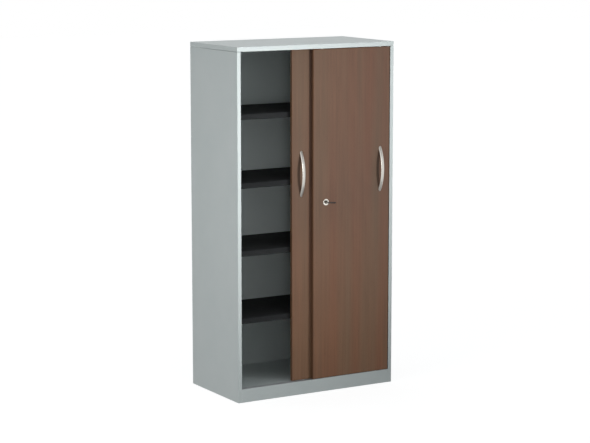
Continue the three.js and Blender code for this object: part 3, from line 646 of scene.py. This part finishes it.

# %% [markdown]
# A narrow black seal is stuck on the inner face of each stile, where the edge of a shut door meets it. It
# is both a seal and painted shade: on the right it shows as the dark line of shade in the gap between the
# front door and the light steel. It is a plain strip, so a box does.

# %% Seals on the stiles, dark as painted shade
SEAL_AND_SHADE_THICK = 0.8 * MM
SEAL_AND_SHADE_BEHIND = 6 * MM       # reaches this far behind the door's face, and less before it
SEAL_AND_SHADE_BEFORE = 1.4 * MM
seal_and_shade_low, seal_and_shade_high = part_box("bottom_track")[1].z + SEAT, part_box("right_door_panel")[1].z
for side, sign in (("left", -1), ("right", 1)):
    bm = bmesh.new()
    xs = sorted((sign * CLEAR, sign * (CLEAR - SEAL_AND_SHADE_THICK)))
    ys = (FACES[side] - SEAL_AND_SHADE_BEFORE, FACES[side] + SEAL_AND_SHADE_BEHIND)
    prism_into(bm, box_outline(*xs, *ys), "z", seal_and_shade_low, seal_and_shade_high)
    # the strip's black stands in for the shade in the gap beside a shut door: painted shade
    seal_and_shade = sheet_of(bm, f"{side}_stile_seal", rubber)
    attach(seal_and_shade, "carcass")

# %% [markdown]
# The front plinth is folded the same way along X: a foot on the floor, the face, a rolled hem at its top
# edge, and a ledge that carries the floor panel.

# %% Front plinth
PLINTH_FOOT = 24 * MM
HEM_GAP = 0.4 * MM
low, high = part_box("plinth_front")
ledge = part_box("bottom_panel")[1].z - SHEET - SEAT - HALF_SHEET
hem = low.y + SHEET + HEM_GAP + HALF_SHEET
route = [(low.y + PLINTH_FOOT, HALF_SHEET), (low.y + HALF_SHEET, HALF_SHEET),
         (low.y + HALF_SHEET, high.z - HALF_SHEET), (hem, high.z - HALF_SHEET), (hem, ledge), (high.y, ledge)]
bm = bmesh.new()
prism_into(bm, folded(route, SHEET, HEM_GAP / 2), "x", low.x, high.x)
plinth = sheet_of(bm, "front_plinth", grey_powder)
even_shading(plinth)
stand_in(plinth, "carcass", "painted_steel", "plinth_front")

# %% [markdown]
# The top is a pressed cap, open below, that drops over the sides. A cube whose upper and upright edges are
# bevelled gives the pressed corners in one step, and a Solidify modifier gives it the thickness of the
# sheet. The lips that turn in below are added as strips.

# %% Top cap
TOP_LIP = 16 * MM
SQUARE = 0.99              # a normal with this much along one axis counts as pointing along it
bm = bmesh.new()
bmesh.ops.create_cube(bm, size=1)
for vert in bm.verts:
    vert.co = Vector((vert.co.x * 2 * HALF, (FRONT + REAR) / 2 + vert.co.y * (REAR - FRONT),
                      TOP_LOW + (vert.co.z + 0.5) * (TOP - TOP_LOW)))
bottom = [f for f in bm.faces if f.calc_center_median().z < TOP_LOW + SHEET]
rim = {edge for face in bottom for edge in face.edges}
bmesh.ops.bevel(bm, geom=[e for e in bm.edges if e not in rim], offset=FOLD, segments=5, profile=0.5,
                affect="EDGES")
bmesh.ops.delete(bm, geom=[f for f in bm.faces if f.normal.z < -SQUARE], context="FACES_ONLY")
shell = sheet_of(bm, "pressed_shell", grey_powder)
wall = shell.modifiers.new("sheet", "SOLIDIFY")
wall.thickness = SHEET
wall.offset = -1
baked(shell)
bm = bmesh.new()
bm.from_mesh(shell.data)
bpy.data.objects.remove(shell)
inner = HALF - SHEET
for x0, x1, y0, y1 in ((-inner, TOP_LIP - HALF, FRONT + SHEET, REAR - SHEET),
                       (HALF - TOP_LIP, inner, FRONT + SHEET, REAR - SHEET),
                       (TOP_LIP - HALF, HALF - TOP_LIP, REAR - TOP_LIP, REAR - SHEET)):
    prism_into(bm, box_outline(x0, x1, y0, y1), "z", TOP_LOW, TOP_LOW + SHEET)
cap = sheet_of(bm, "top_cap", grey_powder)
even_shading(cap)
stand_in(cap, "carcass", "painted_steel", "top_panel")
print("top cap has", len(cap.data.polygons), "faces")


# %% [markdown]
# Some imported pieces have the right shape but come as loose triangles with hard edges. A copy is merged
# into whole faces first, and then a small Bevel modifier softens its edges, as deburred sheet has. The
# bevel is 0.2 mm: it is too small to show as a shape, but it catches a thin line of light.

# %% Merged copies
DEBURRED = 0.2 * MM
SOFTENED = {"shelf_1": "lowest_shelf", "shelf_2": "second_shelf", "shelf_3": "third_shelf",
            "shelf_4": "highest_shelf", "bottom_track": "bottom_rail", "top_guide_channel": "top_channel",
            "left_door_stop": "door_stop", "strike_plate": "strike_angle", "key_blade": "key_shank"}


def merged(node):
    """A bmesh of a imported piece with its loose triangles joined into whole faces."""
    bm = bmesh.new()
    bm.from_mesh(frame["nodes"][node].data)
    bmesh.ops.remove_doubles(bm, verts=bm.verts, dist=0.001 * MM)
    bmesh.ops.dissolve_limit(bm, angle_limit=math.radians(1), verts=bm.verts, edges=bm.edges)
    clean = bmesh.new()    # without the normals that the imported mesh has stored
    verts = {v: clean.verts.new(v.co) for v in bm.verts}
    for face in bm.faces:
        clean.faces.new([verts[v] for v in face.verts])
    bm.free()
    return clean


bodies = {node: body for body, nodes in frame["record"]["behaviour"]["bodies"].items() for node in nodes}
for node, name in SOFTENED.items():
    piece = sheet_of(merged(node), name, finishes[slots[node]])
    edge = piece.modifiers.new("deburred_edge", "BEVEL")
    edge.width = DEBURRED
    edge.segments = 2
    edge.limit_method = "ANGLE"
    edge.angle_limit = math.radians(50)
    edge.harden_normals = True
    stand_in(piece, bodies[node], slots[node], node)
print("softened", len(SOFTENED), "pieces")

# %% [markdown]
# A door is a 19 mm board with melamine on both faces and a plastic band round its rim. The band shows
# from the front as a thin darker outline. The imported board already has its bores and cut-outs, so a
# merged copy is cut along the band's inner line, and each face is given its coat by where it lies.

# %% Door boards
BAND = 3 * MM              # edging round a door
EDGE_SKIN = 0.5 * MM       # a face this close to the rim is the edging's outside
MELAMINE, EDGING, RAW = 0, 1, 2
for side in ("left", "right"):
    low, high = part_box(f"{side}_door_panel")
    bm = merged(f"{side}_door_panel")
    for axis, place in ((0, low.x + BAND), (0, high.x - BAND), (2, low.z + BAND), (2, high.z - BAND)):
        normal = Vector([float(i == axis) for i in range(3)])
        everything = list(bm.verts) + list(bm.edges) + list(bm.faces)
        bmesh.ops.bisect_plane(bm, geom=everything, plane_co=normal * place, plane_no=normal)
    counts = [0, 0, 0]
    for face in bm.faces:
        centre = face.calc_center_median()
        rim = min(centre.x - low.x, high.x - centre.x, centre.z - low.z, high.z - centre.z)
        on_face = min(centre.y - low.y, high.y - centre.y) < TINY
        slanted = max(abs(part) for part in face.normal) < SQUARE
        edging = rim < EDGE_SKIN or (rim < BAND and (on_face or slanted))
        face.material_index = EDGING if edging else MELAMINE if on_face else RAW
        counts[face.material_index] += 1
    board = sheet_of(bm, f"{side}_board", board_finishes[side], edge_band, raw_board)
    even_shading(board)
    stand_in(board, f"{side}_door", "walnut", f"{side}_door_panel")
    print(side, "board: melamine, edging and raw faces:", counts)


# %% [markdown]
# The bow handle is the one main piece whose form follows a rule: an oval bar bent to an arc, whose
# section turns from flat in the middle to deep and a little wider at the feet. Geometry Nodes suit it, as
# the rule is written down once, on named sizes. Two helpers come first. One starts a tree with its named
# inputs, and the other runs a tree and keeps the plain mesh.

# %% Trees for shapes
FLOAT, INTEGER, VECTOR, COAT = "NodeSocketFloat", "NodeSocketInt", "NodeSocketVector", "NodeSocketMaterial"


def tree_with(name, sockets):
    """A geometry tree with named inputs. Each socket is a name, a kind and a default."""
    tree = bpy.data.node_groups.new(name, "GeometryNodeTree")
    for label, kind, default in sockets:
        socket = tree.interface.new_socket(label, in_out="INPUT", socket_type=kind)
        if default is not None:
            socket.default_value = default
    tree.interface.new_socket("Geometry", in_out="OUTPUT", socket_type="NodeSocketGeometry")
    return tree, add(tree, "NodeGroupInput").outputs


def grown(name, tree, **values):
    """Runs a geometry tree on an empty mesh and returns the result as a plain mesh object."""
    obj = bpy.data.objects.new(name, bpy.data.meshes.new(name))
    scene.collection.objects.link(obj)
    modifier = obj.modifiers.new("grown", "NODES")
    modifier.node_group = tree
    for item in tree.interface.items_tree:
        key = item.name.lower().replace(" ", "_")
        if item.in_out == "INPUT" and key in values:
            modifier[item.identifier] = values[key]
    baked(obj)
    obj.data.name = name
    obj.data.set_sharp_from_angle(angle=SHARP)
    print(name, "has", len(obj.data.polygons), "faces")
    return obj


# %% [markdown]
# The handle's middle line is an arc over both screw points. Its radius follows from half the pitch and the
# rise, and the feet reach a little further round. A straight line of points is bent to it: each point
# takes its angle from its share of the line, and the angle gives its place.

# %% Bow handle, the arc
handle_tree, given = tree_with("bow_handle", [
    ("Middle", VECTOR, (0, 0, 0)), ("Pitch", FLOAT, 224 * MM), ("Rise", FLOAT, 32 * MM),
    ("Thickness", FLOAT, 8 * MM), ("Foot thickness", FLOAT, 16 * MM), ("Width", FLOAT, 18 * MM),
    ("Foot width", FLOAT, 19 * MM), ("Steps", INTEGER, 96), ("Sides", INTEGER, 28), ("Finish", COAT, None)])
tree = handle_tree
chord = add(tree, MATH, {0: given["Pitch"], 1: 2.0}, operation="DIVIDE")
half_bar = add(tree, MATH, {0: given["Thickness"], 1: 2.0}, operation="DIVIDE")
rise = add(tree, MATH, {0: given["Rise"], 1: half_bar}, operation="SUBTRACT")
squares = [add(tree, MATH, {0: length, 1: 2.0}, operation="POWER") for length in (chord, rise)]
squares = add(tree, MATH, {0: squares[0], 1: squares[1]}, operation="ADD")
double_rise = add(tree, MATH, {0: rise, 1: 2.0}, operation="MULTIPLY")
radius = add(tree, MATH, {0: squares, 1: double_rise}, operation="DIVIDE")
sine = add(tree, MATH, {0: chord, 1: radius}, operation="DIVIDE")
foot = add(tree, MATH, {0: sine}, operation="ARCSINE")
beyond = add(tree, MATH, {0: given["Foot thickness"], 1: radius}, operation="DIVIDE")
last = add(tree, MATH, {0: foot, 1: beyond}, operation="ADD")

line = add(tree, "GeometryNodeCurvePrimitiveLine")
line = add(tree, "GeometryNodeResampleCurve", {"Curve": line, "Count": given["Steps"]})
share = add(tree, "GeometryNodeSplineParameter").outputs["Factor"]
share = add(tree, MATH, {0: share, 1: 2.0, 2: -1.0}, operation="MULTIPLY_ADD")
angle = add(tree, MATH, {0: last, 1: share}, operation="MULTIPLY")
turns = [add(tree, MATH, {0: angle}, operation=operation) for operation in ("COSINE", "SINE")]
depth, height = [add(tree, MATH, {0: radius, 1: turn}, operation="MULTIPLY") for turn in turns]
hub = add(tree, MATH, {0: radius, 1: rise}, operation="SUBTRACT")
out = add(tree, MATH, {0: hub, 1: depth}, operation="SUBTRACT")
place = add(tree, "ShaderNodeCombineXYZ", {"Y": out, "Z": height})
bent = add(tree, "GeometryNodeSetPosition", {"Geometry": line, "Position": place})
print("arc of the handle takes", len(tree.nodes), "nodes")

# %% [markdown]
# A ring run along the arc makes the bar. The curve's scale is its depth, which grows with the square of
# the angle. A scale works on both sides of a section at once, so the ratio of width to depth is stored
# with the curve, and the bar is stretched by it afterwards.

# %% Bow handle, the bar
near_foot = add(tree, MATH, {0: angle, 1: foot}, operation="DIVIDE")
near_foot = add(tree, MATH, {0: near_foot, 1: 2.0}, operation="POWER")
near_foot = add(tree, MATH, {0: 1.0, 1: near_foot}, operation="MINIMUM")
thick = add(tree, "ShaderNodeMix", {"Factor": near_foot, "A": given["Thickness"],
                                    "B": given["Foot thickness"]})
wide = add(tree, "ShaderNodeMix", {"Factor": near_foot, "A": given["Width"], "B": given["Foot width"]})
kept = add(tree, "GeometryNodeCaptureAttribute", {"Geometry": bent})
kept.capture_items.new("FLOAT", "stretch")
feed(tree, kept, {"stretch": add(tree, MATH, {0: wide, 1: thick}, operation="DIVIDE")})
ring = add(tree, "GeometryNodeCurvePrimitiveCircle", {"Resolution": given["Sides"], "Radius": 1.0})
half_thick = add(tree, MATH, {0: thick, 1: 2.0}, operation="DIVIDE")
bar = add(tree, "GeometryNodeCurveToMesh", {"Curve": kept, "Profile Curve": ring, "Fill Caps": True,
                                            "Scale": half_thick})
spot = add(tree, "ShaderNodeSeparateXYZ", {0: add(tree, "GeometryNodeInputPosition")}).outputs
stretched = add(tree, MATH, {0: spot["X"], 1: kept.outputs["stretch"]}, operation="MULTIPLY")
oval = add(tree, "ShaderNodeCombineXYZ", {"X": stretched, "Y": spot["Y"], "Z": spot["Z"]})
bar = add(tree, "GeometryNodeSetPosition", {"Geometry": bar, "Position": oval})
print("arc and bar take", len(tree.nodes), "nodes")

# %% [markdown]
# A block behind the door's face cuts both feet off flat, as they are ground on the real casting. The bar
# is then moved to its place on the door, shaded smooth and given its finish.

# %% Bow handle, the feet
block_high = add(tree, MATH, {0: given["Pitch"], 1: 3.0}, operation="MULTIPLY")
block_size = add(tree, "ShaderNodeCombineXYZ", {"X": given["Pitch"], "Y": given["Pitch"], "Z": block_high})
block = add(tree, "GeometryNodeMeshCube", {"Size": block_size})
block_place = add(tree, "ShaderNodeCombineXYZ", {"Y": chord})
block = add(tree, "GeometryNodeTransform", {"Geometry": block, "Translation": block_place})
bow = add(tree, "GeometryNodeMeshBoolean", {"Mesh 1": bar, "Mesh 2": block}, operation="DIFFERENCE")
bow = add(tree, "GeometryNodeTransform", {"Geometry": bow, "Translation": given["Middle"]})
bow = add(tree, "GeometryNodeSetShadeSmooth", {"Geometry": bow})
bow = add(tree, "GeometryNodeRealizeInstances", {"Geometry": bow})
bow = add(tree, "GeometryNodeSetMaterial", {"Geometry": bow, "Material": given["Finish"]})
add(tree, "NodeGroupOutput", {"Geometry": bow})
print("the whole handle takes", len(tree.nodes), "nodes")

# %% [markdown]
# The same tree makes both handles. Each one takes its place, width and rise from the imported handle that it
# stands for, so its feet still meet the screws in the door.

# %% Two handles
for side in ("left", "right"):
    low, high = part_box(f"{side}_handle")
    middle = Vector(((low.x + high.x) / 2, FACES[side] - SEAT, (low.z + high.z) / 2))
    handle = grown(f"{side}_bow_handle", handle_tree, middle=middle, width=high.x - low.x,
                   rise=middle.y - low.y, finish=satin_nickel)
    stand_in(handle, f"{side}_door", "satin_nickel", f"{side}_handle")

# %% [markdown]
# Round parts are turned: a profile goes round an axis. A Screw modifier could do it too. Doing it by hand
# keeps control of where the rings lie, and closes the poles with triangles instead of leaving double points.

# %% Turned bodies
def arc(centre, radius, start, end, steps):
    """Points of an arc in a plane, angles in degrees, both ends included."""
    angles = [math.radians(start + (end - start) * i / steps) for i in range(steps + 1)]
    return [(centre[0] + radius * math.cos(a), centre[1] + radius * math.sin(a)) for a in angles]


def turned_into(bm, profile, centre, axis, sides):
    """Adds a body turned about an axis: a profile of (radius, place) pairs. It closes on itself or
    starts and ends on the axis."""
    closed = profile[0] == profile[-1]
    rings = []
    for radius, place in profile[:-1] if closed else profile:
        ring = []
        for k in range(sides if radius > 0 else 1):
            angle = 2 * math.pi * k / sides
            u, v = radius * math.cos(angle), radius * math.sin(angle)
            offset = Vector((u, place, v)) if axis == "y" else Vector((u, v, place))
            ring.append(bm.verts.new(Vector(centre) + offset))
        rings.append(ring)
    for a, b in zip(rings, rings[1:] + rings[:1] if closed else rings[1:]):
        for k in range(sides):
            corners = [a[k % len(a)], a[(k + 1) % len(a)], b[(k + 1) % len(b)], b[k % len(b)]]
            bm.faces.new(list(dict.fromkeys(corners)))


# %% [markdown]
# The lock's rosette has a rolled rim and a broken inner edge, and its barrel goes through the door behind
# it. 64 sides look round at any distance.

# %% Lock rosette
SIDES = 64
BROKEN = 0.4 * MM          # an edge with its corner taken off
ROLLED, BARREL, BORE = 1.2 * MM, 12 * MM, 8.8 * MM
BOLT_HOLE, WEB = 4.3 * MM, 3 * MM
low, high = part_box("lock_housing")
rosette = (high.x - low.x) / 2
board_face = FACES["right"] - SEAT
profile = [(BORE, low.y + BROKEN), (BORE + BROKEN, low.y)]
profile += [(r, y) for y, r in arc((low.y + ROLLED, rosette - ROLLED), ROLLED, 180, 90, 6)]
profile += [(rosette, board_face), (BARREL, board_face), (BARREL, high.y), (BOLT_HOLE, high.y),
            (BOLT_HOLE, high.y - WEB), (BORE, high.y - WEB), (BORE, low.y + BROKEN)]
bm = bmesh.new()
turned_into(bm, profile, (LOCK.x, 0, LOCK.z), "y", SIDES)
ring = sheet_of(bm, "lock_rosette", chrome)
even_shading(ring)
stand_in(ring, "right_door", "chrome", "lock_housing")


# %% [markdown]
# The lock's core sits a little inside the ring. It is turned as well, and its keyway, which lies level, is
# cut out as a box by a Boolean modifier.

# %% Lock core
def cut_by(obj, cutter_bm):
    """Cuts a bmesh's shape out of an object."""
    cutter = sheet_of(cutter_bm, "cutter")
    boolean = obj.modifiers.new("cut", "BOOLEAN")
    boolean.operation = "DIFFERENCE"
    boolean.object = cutter
    baked(obj)
    bpy.data.objects.remove(cutter)
    obj.data.set_sharp_from_angle(angle=SHARP)


KEYWAY_WIDE, KEYWAY_HIGH, KEYWAY_DEEP = 8.6 * MM, 2.6 * MM, 10.8 * MM
low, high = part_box("lock_core")
core_radius = (high.x - low.x) / 2
profile = [(0, low.y), (core_radius - BROKEN, low.y), (core_radius, low.y + BROKEN),
           (core_radius, high.y), (0, high.y)]
bm = bmesh.new()
turned_into(bm, profile, (LOCK.x, 0, LOCK.z), "y", SIDES)
# the core's dark finish is painted shade
core = sheet_of(bm, "lock_plug", core_nickel_painted_shade)
bm = bmesh.new()
prism_into(bm, box_outline(LOCK.x - KEYWAY_WIDE / 2, LOCK.x + KEYWAY_WIDE / 2,
                           LOCK.z - KEYWAY_HIGH / 2, LOCK.z + KEYWAY_HIGH / 2), "y",
           low.y - BROKEN, low.y + KEYWAY_DEEP)
cut_by(core, bm)
stand_in(core, "lock_core", "chrome", "lock_core")

# %% [markdown]
# The doors stand on moulded wheels with a groove that runs on the rail. They are turned like the lock, so
# that the flanges get round edges and the groove keeps its slanted walls.

# %% Wheels
FLANGE, GROOVE, AXLE_HOLE = 2 * MM, 2 * MM, 2.62 * MM
for name in ("left_wheel_a", "left_wheel_b", "right_wheel_a", "right_wheel_b"):
    low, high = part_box(name)
    outer, half = (high.x - low.x) / 2, (high.y - low.y) / 2
    profile = [(AXLE_HOLE, -half)]
    profile += [(r, y) for y, r in arc((FLANGE / 2 - half, outer - FLANGE / 2), FLANGE / 2, 180, 90, 4)]
    profile += [(outer, -GROOVE - FLANGE / 4), (outer - FLANGE, -GROOVE), (outer - FLANGE, GROOVE),
                (outer, GROOVE + FLANGE / 4)]
    profile += [(r, y) for y, r in arc((half - FLANGE / 2, outer - FLANGE / 2), FLANGE / 2, 90, 0, 4)]
    profile += [(AXLE_HOLE, half), (AXLE_HOLE, -half)]
    bm = bmesh.new()
    turned_into(bm, profile, (low + high) / 2, "y", SIDES)
    wheel = sheet_of(bm, name.replace("wheel", "roller"), nylon)
    even_shading(wheel)
    stand_in(wheel, name, "white_nylon", name)

# %% [markdown]
# Two pins at the top of each door run in a groove of the channel and keep the door upright. A pin is a
# plug with a collar and a round tip. They are turned about an upright axis.

# %% Guide pins
PIN_RADIUS, COLLAR, COLLAR_HIGH, PLUG, TIP = 4 * MM, 7 * MM, 1.8 * MM, 22 * MM, 2 * MM
PIN_SIDES = 32
for node in ("left_guide_pin_a", "left_guide_pin_b", "right_guide_pin_a", "right_guide_pin_b"):
    low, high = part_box(node)
    seat = low.z + PLUG + SEAT
    profile = [(0, low.z), (PIN_RADIUS, low.z), (PIN_RADIUS, seat), (COLLAR, seat),
               (COLLAR, seat + COLLAR_HIGH), (PIN_RADIUS, seat + COLLAR_HIGH)]
    profile += arc((PIN_RADIUS - TIP, high.z - TIP), TIP, 0, 90, 5) + [(0, high.z)]
    bm = bmesh.new()
    turned_into(bm, profile, ((low.x + high.x) / 2, (low.y + high.y) / 2, 0), "z", PIN_SIDES)
    peg = sheet_of(bm, node.replace("pin", "peg"), nylon)
    even_shading(peg)
    stand_in(peg, bodies[node], "white_nylon", node)

# %% [markdown]
# The key folds: its grip turns on a pin through the blade, so that it doesn't stand out in the way. The
# grip is a flat drop of black plastic with soft edges, a round knuckle at the pin, a slot that the blade
# lies in and a hole for a ring. It is made flat at the origin. The drop is bevelled before the knuckle is
# joined to it, because a bevel over the joint would be uneven.

# %% Key grip, drop and knuckle
GRIP_LENGTH, HEEL, END, GRIP_THICK = 46 * MM, 5 * MM, 10 * MM, 5 * MM
GRIP_ROUND = 1.2 * MM
KNUCKLE, KNUCKLE_HIGH = 4.5 * MM, 9 * MM
GRIP_SIDES = 40
reach = GRIP_LENGTH - END
lean = math.degrees(math.asin((END - HEEL) / reach))
drop = arc((0, 0), HEEL, lean, 180 - lean, 24) + arc((0, -reach), END, 180 - lean, 360 + lean, 40)
bm = bmesh.new()
prism_into(bm, drop, "z", -GRIP_THICK / 2, GRIP_THICK / 2)
bmesh.ops.recalc_face_normals(bm, faces=bm.faces)
level = [e for e in bm.edges if abs(e.verts[0].co.z - e.verts[1].co.z) < TINY]
rims = [e for e in level if e.calc_face_angle() > SHARP]
bmesh.ops.bevel(bm, geom=rims, offset=GRIP_ROUND, segments=4, profile=0.5, affect="EDGES")
grip = sheet_of(bm, "key_handle", black_abs)
bm = bmesh.new()
turned_into(bm, [(0, -KNUCKLE_HIGH / 2), (KNUCKLE - BROKEN, -KNUCKLE_HIGH / 2),
                 (KNUCKLE, BROKEN - KNUCKLE_HIGH / 2), (KNUCKLE, KNUCKLE_HIGH / 2 - BROKEN),
                 (KNUCKLE - BROKEN, KNUCKLE_HIGH / 2), (0, KNUCKLE_HIGH / 2)], (0, 0, 0), "z", GRIP_SIDES)
knuckle = sheet_of(bm, "knuckle", black_abs)
union = grip.modifiers.new("knuckle", "BOOLEAN")
union.operation = "UNION"
union.object = knuckle
baked(grip)
bpy.data.objects.remove(knuckle)
print("drop and knuckle have", len(grip.data.polygons), "faces")

# %% [markdown]
# The slot is a flat ring cut round the pin, which stays whole in the middle. The hole is a plain cylinder.
# Last, the grip is turned to the side that it leans to and moved to its pin. The mesh takes the move, so
# that the object itself stays at the origin.

# %% Key grip, slot and hole
SLOT, SLOT_HIGH, PIN = 7 * MM, 2.6 * MM, 1.5 * MM
RING_HOLE, RING_SIDES = 2.5 * MM, 32
GRIP_TURN = math.radians(47.5)
PIVOT_OUT = 22 * MM        # from the door's face to the pin
bm = bmesh.new()
turned_into(bm, [(PIN, -SLOT_HIGH / 2), (SLOT, -SLOT_HIGH / 2), (SLOT, SLOT_HIGH / 2),
                 (PIN, SLOT_HIGH / 2), (PIN, -SLOT_HIGH / 2)], (0, 0, 0), "z", GRIP_SIDES)
cut_by(grip, bm)
bm = bmesh.new()
turned_into(bm, [(0, -GRIP_THICK), (RING_HOLE, -GRIP_THICK), (RING_HOLE, GRIP_THICK), (0, GRIP_THICK)],
            (0, -reach, 0), "z", RING_SIDES)
cut_by(grip, bm)
pivot = Vector((LOCK.x, FACES["right"] - PIVOT_OUT, LOCK.z))
grip.data.transform(Matrix.Translation(pivot) @ Matrix.Rotation(GRIP_TURN, 4, "Z"))
stand_in(grip, "key_grip", "black_plastic", "key_grip")
print("key grip spans", [round(1000 * side, 1) for side in grip.dimensions], "mm")

# %% [markdown]
# A row of screws holds the bottom rail. They repeat at an even step, so a node tree sets one screw on
# every point of a line. A screw head is a low cone with a crossed slot, and its other sizes follow from
# its radius.

# %% Screw row as a node tree
TAPER, CROSS_LONG, CROSS_THIN = 0.7, 1.1, 0.22
HEAD_SIDES = 24
screw_tree, given = tree_with("screw_row", [
    ("Start", VECTOR, (0, 0, 0)), ("Step", VECTOR, (100 * MM, 0, 0)), ("Count", INTEGER, 4),
    ("Head radius", FLOAT, 3 * MM), ("Head height", FLOAT, 1 * MM), ("Finish", COAT, None)])
tree = screw_tree
top, long, thin = [add(tree, MATH, {0: given["Head radius"], 1: ratio}, operation="MULTIPLY")
                   for ratio in (TAPER, CROSS_LONG, CROSS_THIN)]
head = add(tree, "GeometryNodeMeshCone", {"Vertices": HEAD_SIDES, "Radius Top": top,
                                          "Radius Bottom": given["Head radius"],
                                          "Depth": given["Head height"]})
lift = add(tree, "ShaderNodeCombineXYZ", {"Z": given["Head height"]})
for along, across in ((long, thin), (thin, long)):
    size = add(tree, "ShaderNodeCombineXYZ", {"X": along, "Y": across, "Z": given["Head height"]})
    arm = add(tree, "GeometryNodeMeshCube", {"Size": size})
    arm = add(tree, "GeometryNodeTransform", {"Geometry": arm, "Translation": lift})
    head = add(tree, "GeometryNodeMeshBoolean", {"Mesh 1": head, "Mesh 2": arm}, operation="DIFFERENCE")
points = add(tree, "GeometryNodeMeshLine", {"Count": given["Count"], "Start Location": given["Start"],
                                            "Offset": given["Step"]})
row = add(tree, "GeometryNodeInstanceOnPoints", {"Points": points, "Instance": head})
row = add(tree, "GeometryNodeRealizeInstances", {"Geometry": row})
row = add(tree, "GeometryNodeSetMaterial", {"Geometry": row, "Material": given["Finish"]})
add(tree, "NodeGroupOutput", {"Geometry": row})
print("screw row takes", len(tree.nodes), "nodes")

# %% [markdown]
# The row runs along the rail's base, midway between the two lanes that the wheels roll in, so that no
# wheel meets a screw.

# %% Screws of the bottom rail
SCREWS = 4
HEAD_RADIUS, HEAD_HEIGHT = 3 * MM, 1 * MM
INSET = 60 * MM            # from the end of the rail to its first screw
RAIL_BASE = 1 * MM         # thickness of the rail's foot
rail_low, rail_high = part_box("bottom_track")
lane_edges = [corner.y for side in ("left", "right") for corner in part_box(f"{side}_wheel_a")]
between = sum(lane_edges) / len(lane_edges)
step = (rail_high.x - rail_low.x - 2 * INSET) / (SCREWS - 1)
first_screw = Vector((rail_low.x + INSET, between, rail_low.z + RAIL_BASE + HEAD_HEIGHT / 2))
rail_screws = grown("rail_screws", screw_tree, start=first_screw, step=Vector((step, 0, 0)), count=SCREWS,
                    head_radius=HEAD_RADIUS, head_height=HEAD_HEIGHT, finish=zinc)
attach(rail_screws, "carcass")
print("rail screws:", SCREWS, "at", round(step / MM), "mm")

# %% [markdown]
# The model's own box is measured once more, so that the dressed cabinet can be compared with it.

# %% Measure the dressed cabinet
dressed_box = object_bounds()
growth = (dressed_box[1] - dressed_box[0]) - (cad_box[1] - cad_box[0])
print("grown by mm:", [round(side / MM, 2) for side in growth])
